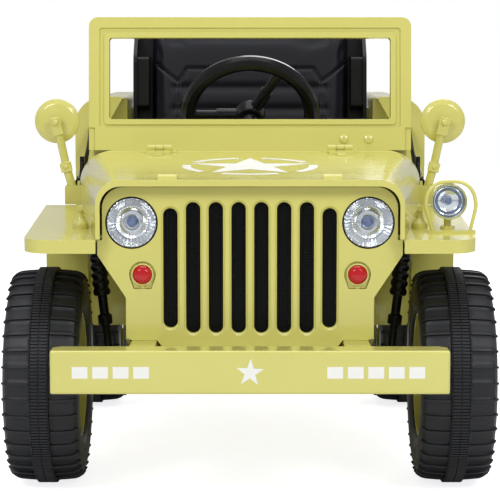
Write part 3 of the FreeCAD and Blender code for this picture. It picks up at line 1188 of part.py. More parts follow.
def seat_shell():
    """Moulded bucket: base, raked back with round shoulders, side wings and square bolsters."""
    base_top = SEAT_BASE_Z + SEAT_WALL
    base = block(-SEAT_HALF, SEAT_HALF, SEAT_FRONT - SEAT_LIP, back_line(base_top) + 1.0, SEAT_BASE_Z,
                 base_top)
    foot, crown = back_line(SEAT_BASE_Z), back_line(SEAT_TOP)
    back = plate([(foot, SEAT_BASE_Z), (foot + SEAT_WALL, SEAT_BASE_Z), (crown + SEAT_WALL, SEAT_TOP),
                  (crown, SEAT_TOP)], [0, 0, SEAT_LIP, SEAT_LIP], side_view(-SEAT_HALF),
                 vec(2 * SEAT_HALF, 0, 0))
    wing = [(back_line(WING_LOW) + 2.0, WING_LOW), (back_line(WING_LOW) - WING_DEPTH_LOW, WING_LOW),
            (back_line(BOLSTER_HIGH) - WING_DEPTH_LOW, BOLSTER_HIGH),
            (back_line(WING_TOP) - WING_DEPTH_HIGH / 2, WING_TOP), (back_line(WING_TOP) + 2.0, WING_TOP)]
    side = plate(wing, [0, 20, 30, 8, 0], side_view(SEAT_HALF - SEAT_WALL / 2), vec(SEAT_WALL / 2, 0, 0))
    bolster = plate([(back_line(BOLSTER_LOW) + 2.0, BOLSTER_LOW),
                     (back_line(BOLSTER_LOW) - BOLSTER_DEPTH, BOLSTER_LOW),
                     (back_line(BOLSTER_HIGH) - BOLSTER_DEPTH, BOLSTER_HIGH),
                     (back_line(BOLSTER_HIGH) + 2.0, BOLSTER_HIGH)],
                    [0, BOLSTER_ROUND, BOLSTER_ROUND, 0], side_view(SEAT_HALF - BOLSTER_WIDTH + SOFT_GAP),
                    vec(BOLSTER_WIDTH - SEAT_WALL / 2, 0, 0))
    cheek = [(SEAT_FRONT + SEAT_LIP, base_top - 1), (SEAT_FRONT + CHEEK_STEP, base_top + CHEEK_RISE),
             (back_line(base_top + CHEEK_RISE) + 2.0, base_top + CHEEK_RISE),
             (back_line(base_top) + 2.0, base_top - 1)]
    cheek = plate(cheek, [0, 15, 0, 0], side_view(SEAT_HALF - SEAT_WALL), vec(SEAT_WALL, 0, 0))
    side = side.fuse([bolster, cheek])
    shell = base.fuse([back, side, mirrored(side)])
    front = plate(symmetric([(SEAT_HALF, SEAT_BASE_Z - 1.0), (SEAT_HALF, SEAT_TOP)]),
                  [0, SEAT_TOP_ROUND, SEAT_TOP_ROUND, 0], front_view(SEAT_FRONT - 2 * SEAT_LIP),
                  vec(0, crown - SEAT_FRONT + SEAT_WALL + 4 * SEAT_LIP, 0))
    return shell.common(front).removeSplitter()


def seat_back_pad():
    corners = [(back_line(PAD_LOW) - SOFT_GAP, PAD_LOW), (back_line(PAD_TOP) - SOFT_GAP, PAD_TOP),
               (back_line(PAD_TOP) - PAD_THICK * PAD_TOP_SHARE, PAD_TOP),
               (back_line(PAD_LOW) - PAD_THICK, PAD_LOW)]
    return plate(corners, [0, 0, PAD_ROUND, PAD_ROUND], side_view(-PAD_HALF), vec(2 * PAD_HALF, 0, 0))


def seat_base_pad():
    low = SEAT_BASE_Z + SEAT_WALL + SOFT_GAP
    rear = back_line(low) - SOFT_GAP * 10
    corners = box_corners(SEAT_FRONT, rear, low, low + PAD_THICK)
    return plate(corners, [0, 0, *BASE_PAD_ROUNDS], side_view(-BASE_PAD_HALF), vec(2 * BASE_PAD_HALF, 0, 0))


def door_strap():
    """Slack left strap across the door cut-out, from the cowl's cheek to the rear quarter."""
    front, rear = STRAP_FRONT, POD_FRONT - SOFT_GAP
    x = COWL_HALF + SOFT_GAP

    def arc(rise):
        ends = (at(x, front, STRAP_FRONT_Z + rise), at(x, STRAP_SAG_STATION, STRAP_SAG_Z + rise),
                at(x, rear, STRAP_REAR_Z + rise))
        return Part.Arc(*ends).toShape()
    lower, upper = arc(0.0), arc(STRAP_WIDTH)
    edges = [lower, Part.makeLine(at(x, rear, STRAP_REAR_Z), at(x, rear, STRAP_REAR_Z + STRAP_WIDTH)), upper,
             Part.makeLine(at(x, front, STRAP_FRONT_Z + STRAP_WIDTH), at(x, front, STRAP_FRONT_Z))]
    return Part.Face(Part.Wire(Part.__sortEdges__(edges))).extrude(vec(STRAP_THICK, 0, 0))


def rear_bumperette():
    """Left short bumper at the tail."""
    low = RAIL_TOP + CASE_GAP
    corners = box_corners(POD_INNER - BUMPERETTE_LAP, FLANK_HALF - BUMPERETTE_INSET, POD_REAR,
                          POD_REAR + BUMPERETTE_DEPTH)
    return plate(corners, [0, 0, BUMPERETTE_ROUND, BUMPERETTE_ROUND], plan_view(low),
                 vec(0, 0, BUMPERETTE_HEIGHT))


def tail_lamp():
    return turned([(0, 0), (0, TAIL_LAMP_RADIUS), (TAIL_LAMP_EDGE, TAIL_LAMP_RADIUS),
                   (TAIL_LAMP_LENGTH - 2.0, TAIL_LAMP_RADIUS * 0.7), (TAIL_LAMP_LENGTH, 0)],
                  at(TAIL_LAMP_X, POD_REAR, TAIL_LAMP_Z), vec(0, 1, 0), [0, 0, 2, 5, 0])


def build():
    """Every node of the car by name."""
    nodes = {}
    tread, wheel = tyre(), rim()
    for name, (centre, axis) in wheel_places().items():
        nodes["tyre_" + name] = mounted(tread, centre, axis)
        nodes["rim_" + name] = mounted(wheel, centre, axis)
    spare = at(0, POD_REAR + SPARE_GAP, SPARE_Z)
    nodes["spare_tyre"] = mounted(tread, spare, vec(0, 1, 0))
    nodes["spare_rim"] = mounted(wheel, spare, vec(0, 1, 0))
    nodes["front_axle_beam"] = front_axle_beam()
    nodes["knuckle_left"] = knuckle()
    nodes["knuckle_right"] = mirrored(nodes["knuckle_left"])
    nodes["tie_rod"] = tie_rod()
    nodes["chassis_frame"] = chassis_frame()
    nodes["front_bumper"] = front_bumper()
    nodes["rear_axle"] = rear_axle()
    nodes["rear_gearboxes"] = pair(gearbox())
    nodes["body_floor"] = body_floor()
    nodes["toe_board"] = toe_board()
    nodes["body_side_left"] = body_side()
    nodes["body_side_right"] = mirrored(nodes["body_side_left"])
    nodes["rear_panel"] = rear_panel()
    nodes["cowl"] = cowl()
    nodes["dash_panel"] = dash_panel()
    nodes["windscreen_frame"] = windscreen_frame()
    wing = fender()
    nodes["fender_left"] = wing
    nodes["fender_right"] = mirrored(wing)
    nodes["struts"] = pair(strut())
    nodes["engine_bay"] = engine_bay()
    nodes["battery_block"] = battery_block()
    nodes["hood"] = hood()
    nodes["hood_hinges"], nodes["cowl_hinges"] = hinge_leaves(nodes["hood"])
    nodes["grille_panel"] = grille_panel()
    nodes["grille_mesh"] = grille_mesh()
    place = HEADLAMP_X, HEADLAMP_Z, HEADLAMP_RADIUS, LAMP_FRONT
    nodes["headlamp_bowls"] = pair(lamp_bowl(*place, HEADLAMP_DEPTH))
    nodes["headlamp_lenses"] = pair(lamp_lens(*place, HEADLAMP_BULGE))
    nodes["marker_housings"] = pair(marker_housing())
    nodes["marker_lamps"] = pair(marker_lamp())
    nodes["fog_lamp_bowl"] = fog_lamp_bowl(wing)
    nodes["fog_lamp_lens"] = lamp_lens(FOG_X, FOG_Z, FOG_RADIUS, FOG_STATION, FOG_BULGE)
    nodes["fog_lamp_guard"] = fog_guard(wing)
    nodes["hood_catches"] = pair(hood_catch(wing))
    arm = mirror_arm()
    nodes["mirror_arms"] = pair(arm)
    nodes["mirror_heads"] = pair(mirror_head(arm))
    nodes["steering_wheel"] = steering_wheel()
    nodes["steering_column"] = steering_column()
    nodes["seat_riser"] = seat_riser()
    nodes["seat_shell"] = seat_shell()
    nodes["seat_back_pad"] = seat_back_pad()
    nodes["seat_base_pad"] = seat_base_pad()
    nodes["door_straps"] = pair(door_strap())
    nodes["pedal"] = pedal()
    nodes["rear_bumperettes"] = pair(rear_bumperette())
    nodes["tail_lamps"] = pair(tail_lamp())
    return nodes


os.makedirs("parts", exist_ok=True)
for name, shape in build().items():
    solids = shape.Solids
    whole = solids[0] if len(solids) == 1 else Part.makeCompound(solids)
    whole.exportStep("parts/" + name + ".step")
    print("%-18s solids %d valid %s volume %.0f" % (name, len(solids), whole.isValid(), whole.Volume))
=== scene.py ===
"""Looks of a child's ride-on army 4x4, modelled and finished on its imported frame."""

import json
import logging
import math
from dataclasses import dataclass, field
from enum import Enum
from typing import Any, Callable, Optional, Sequence

import bmesh
import bpy
from mathutils import Matrix, Vector

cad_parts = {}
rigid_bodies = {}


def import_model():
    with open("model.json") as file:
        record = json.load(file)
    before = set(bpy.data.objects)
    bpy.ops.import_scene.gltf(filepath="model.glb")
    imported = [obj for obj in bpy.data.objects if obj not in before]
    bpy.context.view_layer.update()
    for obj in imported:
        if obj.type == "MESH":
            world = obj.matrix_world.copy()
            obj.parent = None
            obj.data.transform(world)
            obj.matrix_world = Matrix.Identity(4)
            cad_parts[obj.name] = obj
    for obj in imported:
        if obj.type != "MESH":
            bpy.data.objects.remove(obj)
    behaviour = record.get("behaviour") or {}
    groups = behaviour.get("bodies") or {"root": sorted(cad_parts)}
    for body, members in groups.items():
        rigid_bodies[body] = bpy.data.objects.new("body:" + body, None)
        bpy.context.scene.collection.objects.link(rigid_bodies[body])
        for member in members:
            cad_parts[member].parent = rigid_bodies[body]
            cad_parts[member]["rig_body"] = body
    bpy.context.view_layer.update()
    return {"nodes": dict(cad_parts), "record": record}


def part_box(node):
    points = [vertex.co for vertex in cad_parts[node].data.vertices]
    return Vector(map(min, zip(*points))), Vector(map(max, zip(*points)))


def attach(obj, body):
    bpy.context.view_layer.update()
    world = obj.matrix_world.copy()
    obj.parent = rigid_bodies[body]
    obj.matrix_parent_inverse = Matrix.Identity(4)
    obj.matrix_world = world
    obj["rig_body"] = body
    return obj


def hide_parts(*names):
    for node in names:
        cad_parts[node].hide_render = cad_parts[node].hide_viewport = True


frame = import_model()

log = logging.getLogger("ride_on")

MM = 0.001
FRONT_AXLE_Y = sum(corner.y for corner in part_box("front_axle_beam")) / 2.0

ORIGIN = Vector((0, 0, 0))
ACROSS = Vector((1, 0, 0))
BACKWARDS = Vector((0, 1, 0))
UP = Vector((0, 0, 1))
SIDES = (("left", Matrix.Identity(4)), ("right", Matrix.Scale(-1, 4, ACROSS)))

Test = Callable[[Any], bool]


def at(x: float, station: float, z: float) -> Vector:
    """A point in the frame from millimetres.

    Args:
        x: Distance to the car's left.
        station: Length place, measured backwards from the front axle.
        z: Height above the floor.

    Returns:
        The point in metres.
    """
    return Vector((x * MM, FRONT_AXLE_Y + station * MM, z * MM))


class Slot(Enum):
    """Material slots of the record that the new pieces take their finish from."""

    OLIVE = "olive"
    BLACK = "black_plastic"
    TYRE = "tyre"
    STEEL = "steel"
    MESH = "mesh"
    REFLECTOR = "reflector"
    CLEAR = "clear_lens"
    RED = "red_lens"
    SEAT = "seat_vinyl"
    WEBBING = "webbing"


class Wire:
    """One output socket of a node tree that takes part in Python arithmetic."""

    def __init__(self, graph: "Graph", socket: bpy.types.NodeSocket) -> None:
        """Keeps the socket and the graph that new maths nodes go to."""
        self.graph = graph
        self.socket = socket

    def _maths(self, operation: str, first: Any, second: Any) -> "Wire":
        """Adds one Math node on two values, either of them a wire or a number."""
        return self.graph.add("ShaderNodeMath", {"operation": operation}, {0: first, 1: second})

    def __add__(self, other: Any) -> "Wire":
        """This value plus another."""
        return self._maths("ADD", self, other)

    def __radd__(self, other: Any) -> "Wire":
        """A number plus this value."""
        return self._maths("ADD", other, self)

    def __sub__(self, other: Any) -> "Wire":
        """This value less another."""
        return self._maths("SUBTRACT", self, other)

    def __rsub__(self, other: Any) -> "Wire":
        """A number less this value."""
        return self._maths("SUBTRACT", other, self)

    def __mul__(self, other: Any) -> "Wire":
        """This value times another."""
        return self._maths("MULTIPLY", self, other)

    def __rmul__(self, other: Any) -> "Wire":
        """A number times this value."""
        return self._maths("MULTIPLY", other, self)


class Graph:
    """The node tree of one material, or of the world."""

    def __init__(self, name: str, tree: Optional[bpy.types.NodeTree] = None) -> None:
        """Starts an empty material, or goes on with a tree that is there.

        Args:
            name: The material's name.
            tree: A tree to work in instead, where no material is wanted.
        """
        if tree is None:
            self.material = bpy.data.materials.new(name)
            self.material.use_nodes = True
            tree = self.material.node_tree
            tree.nodes.clear()
        self.tree = tree

    def add(self, kind: str, settings: Optional[dict] = None, inputs: Optional[dict] = None,
            output: Any = 0) -> Wire:
        """Adds a node of any kind.

        Args:
            kind: The node's type.
            settings: Its own settings, set before its sockets; "stops" are a ramp's (place, colour) pairs.
            inputs: Values or wires by socket name or number.
            output: The output that is handed on.

        Returns:
            That output as a wire.
        """
        node = self.tree.nodes.new(kind)
        for key, value in (settings or {}).items():
            if key == "stops":
                self._set_stops(node.color_ramp.elements, value)
            else:
                setattr(node, key, value)
        for key, value in (inputs or {}).items():
            if isinstance(value, Wire):
                self.tree.links.new(value.socket, node.inputs[key])
            else:
                node.inputs[key].default_value = value
        return Wire(self, node.outputs[output])

    @staticmethod
    def _set_stops(elements: Any, stops: Sequence) -> None:
        """Gives a colour ramp its stops, of which the first two are there already.

        Args:
            elements: The ramp's own stops.
            stops: The wanted (place, colour) pairs.
        """
        while len(elements) < len(stops):
            elements.new(1.0)
        for element, (place, colour) in zip(elements, stops):
            element.position = place
            element.color = colour

    def place(self) -> Wire:
        """Object coordinates, which are the frame's own metres."""
        return self.add("ShaderNodeTexCoord", output="Object")

    def noise(self, scale: float, detail: float = 2.0, roughness: float = 0.5,
              vector: Optional[Wire] = None) -> Wire:
        """Noise over the piece, from 0 to 1.

        Args:
            scale: Features per metre.
            detail: Octaves.
            roughness: How strong the finer octaves are.
            vector: Coordinates other than the piece's own.

        Returns:
            The noise factor.
        """
        return self.add("ShaderNodeTexNoise", inputs={"Vector": vector or self.place(), "Scale": scale,
                                                      "Detail": detail, "Roughness": roughness})

    def blend(self, factor: Any, first: Any, second: Any) -> Wire:
        """Mixes two colours."""
        return self.add("ShaderNodeMix", {"data_type": "RGBA"}, {0: factor, 6: first, 7: second}, 2)

    def bump(self, height: Wire, depth: float, strength: float = 1.0) -> Wire:
        """A bumped normal from a height in 0 to 1 and its depth in metres."""
        return self.add("ShaderNodeBump", None, {"Strength": strength, "Distance": depth, "Height": height})

    def close(self, inputs: dict) -> bpy.types.Material:
        """Ends the tree in a Principled shader.

        Args:
            inputs: The shader's sockets by name, as values or wires.

        Returns:
            The finished material.
        """
        shader = self.add("ShaderNodeBsdfPrincipled", None, inputs)
        self.add_output(shader)
        return self.material

    def add_output(self, shader: Wire) -> None:
        """Links a shader to the material's surface."""
        node = self.tree.nodes.new("ShaderNodeOutputMaterial")
        self.tree.links.new(shader.socket, node.inputs["Surface"])


def rgba(red: float, green: float, blue: float) -> tuple[float, float, float, float]:
    """Makes a display colour linear.

    Args:
        red: Red from 0 to 255.
        green: Green from 0 to 255.
        blue: Blue from 0 to 255.

    Returns:
        The linear colour, opaque.
    """
    def linear(channel: float) -> float:
        """One display channel as a linear value."""
        share = channel / 255.0
        return share / 12.92 if share <= 0.04045 else ((share + 0.055) / 1.055) ** 2.4
    return (linear(red), linear(green), linear(blue), 1.0)


@dataclass(frozen=True)
class MouldedPlastic:
    """Plastic with a moulded skin: faint colour drift, orange peel and uneven gloss."""

    name: str
    colour: tuple
    shade: tuple
    roughness: float
    coat: float = 0.0
    peel: float = 0.00004
    peel_scale: float = 160.0
    specular: float = 0.5

    def make(self) -> bpy.types.Material:
        """Builds the material."""
        graph = Graph(self.name)
        drift = graph.noise(7.0, 3.0)
        gloss = graph.noise(60.0, 2.0)
        skin = graph.noise(self.peel_scale, 3.0, 0.6)
        return graph.close({
            "Base Color": graph.blend(drift, self.shade, self.colour),
            "Roughness": self.roughness + 0.08 * (gloss - 0.5),
            "Normal": graph.bump(skin, self.peel),
            "Specular IOR Level": self.specular,
            "Coat Weight": self.coat,
            "Coat Roughness": 0.06,
        })


@dataclass(frozen=True)
class TyrePlastic:
    """Blow-moulded tyre: black with a blue cast, satin, and duller in cloudy patches."""

    name: str = "moulded_tyre"

    def make(self) -> bpy.types.Material:
        """Builds the material."""
        graph = Graph(self.name)
        cloud = graph.noise(30.0, 4.0, 0.65)
        grain = graph.noise(1500.0, 2.0)
        return graph.close({
            "Base Color": graph.blend(cloud, rgba(14, 15, 18), rgba(28, 30, 37)),
            "Roughness": 0.36 + 0.22 * cloud,
            "Normal": graph.bump(grain, 0.00008),
            "Specular IOR Level": 0.42,
        })


@dataclass(frozen=True)
class Metal:
    """Bare or plated metal with a fine directional grain."""

    name: str
    colour: tuple
    roughness: float
    grain: float = 0.00002

    def make(self) -> bpy.types.Material:
        """Builds the material."""
        graph = Graph(self.name)
        stretched = graph.add("ShaderNodeVectorMath", {"operation": "MULTIPLY"},
                              {0: graph.place(), 1: (40.0, 900.0, 900.0)})
        lines = graph.add("ShaderNodeTexNoise", None, {"Vector": stretched, "Scale": 1.0, "Detail": 2.0})
        haze = graph.noise(45.0, 3.0)
        darker = tuple(channel * 0.82 for channel in self.colour[:3]) + (1.0,)
        return graph.close({
            "Base Color": graph.blend(haze, darker, self.colour),
            "Metallic": 1.0,
            "Roughness": self.roughness + 0.12 * (lines - 0.5),
            "Normal": graph.bump(lines, self.grain),
        })


@dataclass(frozen=True)
class Lens:
    """Moulded lens: clear with a faint cast, or deep red."""

    name: str
    colour: tuple
    transmission: float
    ripple_scale: float = 140.0

    def make(self) -> bpy.types.Material:
        """Builds the material."""
        graph = Graph(self.name)
        ripple = graph.noise(self.ripple_scale, 1.0)
        cast = graph.noise(20.0, 1.0)
        paler = tuple(min(1.0, channel * 1.06) for channel in self.colour[:3]) + (1.0,)
        return graph.close({
            "Base Color": graph.blend(cast, self.colour, paler),
            "Roughness": 0.02 + 0.03 * ripple,
            "Normal": graph.bump(ripple, 0.00006),
            "Transmission Weight": self.transmission,
            "IOR": 1.46,
            "Coat Weight": 0.3,
        })


@dataclass(frozen=True)
class Leatherette:
    """Black coated fabric with a pebbled grain."""

    name: str = "seat_leatherette"

    def make(self) -> bpy.types.Material:
        """Builds the material."""
        graph = Graph(self.name)
        pebbles = graph.add("ShaderNodeTexVoronoi", {"feature": "SMOOTH_F1"},
                            {"Vector": graph.place(), "Scale": 620.0, "Smoothness": 0.6})
        rub = graph.noise(14.0, 3.0)
        creases = graph.noise(90.0, 4.0, 0.7)
        height = 0.7 * pebbles + 0.3 * creases
        return graph.close({
            "Base Color": graph.blend(rub, rgba(15, 16, 21), rgba(25, 26, 34)),
            "Roughness": 0.42 + 0.16 * rub,
            "Normal": graph.bump(height, 0.00022, 0.7),
            "Specular IOR Level": 0.22,
        })


@dataclass(frozen=True)
class Webbing:
    """Black polyester webbing, its two sets of threads crossing aslant."""

    name: str = "strap_webbing"
    pitch: float = 0.0016

    def make(self) -> bpy.types.Material:
        """Builds the material."""
        graph = Graph(self.name)
        turns = math.tau / self.pitch
        place = graph.place()
        across = graph.add("ShaderNodeSeparateXYZ", None, {0: place}, "Z")
        along = graph.add("ShaderNodeSeparateXYZ", None, {0: place}, "Y")
        ribs = graph.add("ShaderNodeMath", {"operation": "SINE"}, {0: (across + along) * turns})
        back = graph.add("ShaderNodeMath", {"operation": "SINE"}, {0: (across - along) * turns})
        weave = 0.5 + 0.25 * (ribs + back)
        return graph.close({
            "Base Color": graph.blend(weave, rgba(14, 14, 16), rgba(38, 38, 42)),
            "Roughness": 0.62 + 0.2 * weave,
            "Normal": graph.bump(weave, 0.00025),
        })


class Paintbox:
    """Every finish of the car, made once."""

    def __init__(self) -> None:
        """Builds the materials."""
        self.olive = MouldedPlastic("olive_gloss", rgba(215, 210, 118), rgba(207, 201, 108), 0.19,
                                    0.5, 0.00003).make()
        self.black = MouldedPlastic("black_satin", rgba(16, 17, 20), rgba(11, 12, 14), 0.26, 0.0,
                                    0.00006, 420.0, 0.25).make()
        self.white = MouldedPlastic("white_stencil_paint", rgba(244, 244, 240), rgba(232, 232, 226), 0.42,
                                    0.0, 0.00002, 700.0).make()
        self.tyre = TyrePlastic().make()
        self.zinc = Metal("zinc_plate", rgba(188, 188, 190), 0.34).make()
        self.chrome = Metal("reflector_chrome", rgba(232, 234, 238), 0.1, 0.000005).make()
        self.clear = Lens("clear_lens", rgba(246, 249, 252), 1.0).make()
        self.bulb = Lens("bluish_bulb", rgba(150, 175, 225), 0.6).make()
        self.red = Lens("red_lens", rgba(186, 0, 10), 0.0).make()
        self.seat = Leatherette().make()
        self.webbing = Webbing().make()
        self.thread = MouldedPlastic("seat_thread", rgba(78, 80, 90), rgba(66, 68, 78), 0.6).make()

    def of_slot(self, slot: Slot) -> bpy.types.Material:
        """The finish that a material slot of the record is given.

        Args:
            slot: The record's slot.

        Returns:
            Its material.
        """
        return {Slot.OLIVE: self.olive, Slot.BLACK: self.black, Slot.TYRE: self.tyre, Slot.STEEL: self.zinc,
                Slot.MESH: self.black, Slot.REFLECTOR: self.chrome, Slot.CLEAR: self.clear,
                Slot.RED: self.red, Slot.SEAT: self.seat, Slot.WEBBING: self.webbing}[slot]


class Piece:
    """One mesh on the bench: a primitive or a copied solid, shaped step by step, then mounted on the car."""

    def __init__(self, name: str, thing: bpy.types.Object) -> None:
        """Takes over an object and names it and its mesh.

        Args:
            name: The piece's own name.
            thing: The object.
        """
        thing.name = name
        thing.data.name = name
        self.thing = thing

    @staticmethod
    def lay_down() -> None:
        """Leaves edit mode with nothing selected."""
        if bpy.context.object and bpy.context.object.mode != "OBJECT":
            bpy.ops.object.mode_set(mode="OBJECT")
        bpy.ops.object.select_all(action="DESELECT")

    @classmethod
    def added(cls, name: str) -> "Piece":
        """Wraps the primitive that was just added, its place and size applied."""
        bpy.ops.object.transform_apply(location=True, rotation=True, scale=True)
        return cls(name, bpy.context.object)

    @classmethod
    def box(cls, name: str, low: Vector, high: Vector) -> "Piece":
        """Adds a cube between two corners.

        Args:
            name: The piece's name.
            low: Its lowest corner.
            high: Its highest corner.

        Returns:
            The new piece.
        """
        cls.lay_down()
        bpy.ops.mesh.primitive_cube_add(size=1.0, location=(low + high) / 2, scale=high - low)
        return cls.added(name)

    @classmethod
    def grid(cls, name: str, low: Vector, high: Vector, across: int, up: int) -> "Piece":
        """Adds an upright grid of faces between two corners, seen from the front.

        Args:
            name: The piece's name.
            low: Its lowest corner.
            high: Its highest corner.
            across: Cells across.
            up: Cells up.

        Returns:
            The new piece.
        """
        cls.lay_down()
        bpy.ops.mesh.primitive_grid_add(x_subdivisions=across, y_subdivisions=up, size=1.0,
                                        location=(low + high) / 2, rotation=(math.pi / 2, 0, 0))
        bpy.context.object.scale = (high.x - low.x, high.z - low.z, 1.0)
        return cls.added(name)

    @classmethod
    def disc(cls, name: str, centre: Vector, radius: float, facing: Vector, sides: int = 32) -> "Piece":
        """Adds a flat round face.

        Args:
            name: The piece's name.
            centre: Its middle.
            radius: Its radius.
            facing: Its normal's direction.
            sides: Corners round it.

        Returns:
            The new piece.
        """
        cls.lay_down()
        turn = UP.rotation_difference(facing).to_euler()
        bpy.ops.mesh.primitive_circle_add(vertices=sides, radius=radius, fill_type="NGON", location=centre,
                                          rotation=turn)
        return cls.added(name)

    @classmethod
    def rod(cls, name: str, start: Vector, stop: Vector, radius: float, sides: int = 16) -> "Piece":
        """Adds a closed cylinder between two points.

        Args:
            name: The piece's name.
            start: The middle of its first end.
            stop: The middle of its other end.
            radius: Its radius.
            sides: Corners round it.

        Returns:
            The new piece.
        """
        cls.lay_down()
        run = stop - start
        turn = UP.rotation_difference(run).to_euler()
        bpy.ops.mesh.primitive_cylinder_add(vertices=sides, radius=radius, depth=run.length,
                                            location=(start + stop) / 2, rotation=turn)
        return cls.added(name)

    @classmethod
    def torus(cls, name: str, centre: Vector, radii: tuple[float, float], turn: Sequence[float],
              sides: tuple[int, int] = (32, 10)) -> "Piece":
        """Adds a round ring of wire.

        Args:
            name: The piece's name.
            centre: Its middle.
            radii: Radius of the ring and of its wire.
            turn: Angles about X, Y and Z from lying flat.
            sides: Corners round the ring and round its wire.

        Returns:
            The new piece.
        """
        cls.lay_down()
        bpy.ops.mesh.primitive_torus_add(major_radius=radii[0], minor_radius=radii[1],
                                         major_segments=sides[0], minor_segments=sides[1],
                                         location=centre, rotation=turn)
        return cls.added(name)

    @classmethod
    def path(cls, name: str, points: Sequence[Vector]) -> "Piece":
        """Draws a chain of edges by extruding one vertex from point to point.

        Args:
            name: The piece's name.
            points: The chain's corners.

        Returns:
            The new piece, in edit mode.
        """
        cls.lay_down()
        bpy.ops.mesh.primitive_plane_add(size=MM)
        piece = cls.added(name)
        piece.edit().all()
        bpy.ops.mesh.merge(type="CENTER")
        bpy.ops.transform.translate(value=points[0])
        for last, point in zip(points, points[1:]):
            bpy.ops.mesh.extrude_region_move(TRANSFORM_OT_translate={"value": point - last})
        return piece

    @classmethod
    def copy_of(cls, name: str, node: str) -> "Piece":
        """Copies a CAD node, its loose triangles merged and its flat faces joined.

        Args:
            name: The piece's name.
            node: The node.

        Returns:
            The new piece, in edit mode.
        """
        cls.lay_down()
        thing = bpy.data.objects.new(name, frame["nodes"][node].data.copy())
        bpy.context.scene.collection.objects.link(thing)
        thing.data.materials.clear()
        piece = cls(name, thing)
        piece.edit().all()
        bpy.ops.mesh.remove_doubles(threshold=0.00001)
        bpy.ops.mesh.dissolve_limited(angle_limit=math.radians(0.4))
        return piece

    def take(self) -> "Piece":
        """Makes this the only selected object, and the active one."""
        self.lay_down()
        self.thing.select_set(True)
        bpy.context.view_layer.objects.active = self.thing
        return self

    def edit(self) -> "Piece":
        """Goes into edit mode on this piece."""
        self.take()
        bpy.ops.object.mode_set(mode="EDIT")
        bpy.ops.mesh.select_mode(type="VERT")
        return self

    def all(self) -> "Piece":
        """Selects the whole mesh."""
        bpy.ops.mesh.select_all(action="SELECT")
        return self

    def pick(self, mode: str, test: Test) -> "Piece":
        """Selects vertices, edges or faces by their place or normal.

        Args:
            mode: VERT, EDGE or FACE.
            test: True for an element that is wanted.

        Returns:
            The piece itself.
        """
        bpy.ops.mesh.select_mode(type=mode)
        bpy.ops.mesh.select_all(action="DESELECT")
        mesh = bmesh.from_edit_mesh(self.thing.data)
        elements = {"VERT": mesh.verts, "EDGE": mesh.edges, "FACE": mesh.faces}[mode]
        for element in elements:
            if test(element):
                element.select_set(True)
        mesh.select_flush_mode()
        bmesh.update_edit_mesh(self.thing.data)
        return self

    def swell(self, depth: float) -> "Piece":
        """Extrudes the selected faces along their normals, inwards if depth is negative."""
        bpy.ops.mesh.extrude_region_shrink_fatten(TRANSFORM_OT_shrink_fatten={"value": depth})
        return self

    def inset(self, width: float) -> "Piece":
        """Insets the selected faces as one region."""
        bpy.ops.mesh.inset(thickness=width)
        return self

    def bevel(self, width: float, steps: int = 2) -> "Piece":
        """Bevels the selected edges."""
        bpy.ops.mesh.bevel(offset=width, segments=steps, affect="EDGES", clamp_overlap=True)
        return self

    def move(self, step: Vector) -> "Piece":
        """Moves what is selected."""
        bpy.ops.transform.translate(value=step)
        return self

    def scale(self, factors: Sequence[float], centre: Vector) -> "Piece":
        """Scales what is selected about a centre."""
        bpy.ops.transform.resize(value=factors, center_override=centre)
        return self

    def spin(self, angle: float, centre: Vector, axis: Vector, steps: int) -> "Piece":
        """Spins what is selected about an axis; a full turn is closed by merging."""
        bpy.ops.mesh.spin(steps=steps, angle=angle, center=centre, axis=axis)
        return self

    def fill(self) -> "Piece":
        """Makes a face, or the missing edge, from what is selected."""
        bpy.ops.mesh.edge_face_add()
        return self

    def merge(self, distance: float = 0.00002) -> "Piece":
        """Merges doubles over the whole mesh and turns all faces outwards.

        Args:
            distance: How near two corners have to be.

        Returns:
            The piece itself.
        """
        self.all()
        bpy.ops.mesh.remove_doubles(threshold=distance)
        bpy.ops.mesh.normals_make_consistent(inside=False)
        return self

    def done(self) -> "Piece":
        """Leaves edit mode, still the active object."""
        bpy.ops.object.mode_set(mode="OBJECT")
        return self

    def modify(self, kind: str, **settings: Any) -> "Piece":
        """Adds a modifier and applies it.

        Args:
            kind: The modifier's type.
            settings: Its own settings.

        Returns:
            The piece itself.
        """
        self.take()
        modifier = self.thing.modifiers.new(kind.lower(), kind)
        for key, value in settings.items():
            setattr(modifier, key, value)
        bpy.ops.object.modifier_apply(modifier=modifier.name)
        return self

    def ease(self, width: float, steps: int = 2, sharp: float = 40.0) -> "Piece":
        """Eases the edges that are sharper than an angle, given in degrees."""
        return self.modify("BEVEL", width=width, segments=steps, limit_method="ANGLE",
                           angle_limit=math.radians(sharp))

    def lay_on(self, target: str, offset: float) -> "Piece":
        """Projects the mesh straight down onto another object, a little proud of it."""
        return self.modify("SHRINKWRAP", wrap_method="PROJECT", target=bpy.data.objects[target],
                           use_project_z=True, use_negative_direction=True, use_positive_direction=False,
                           offset=offset)

    def smooth(self, degrees: float = 38.0) -> "Piece":
        """Shades smooth below an angle, with flat faces kept flat.

        Args:
            degrees: The angle above which an edge stays sharp.

        Returns:
            The piece itself.
        """
        self.take()
        bpy.ops.object.shade_smooth_by_angle(angle=math.radians(degrees))
        return self.modify("WEIGHTED_NORMAL", keep_sharp=True, weight=60)

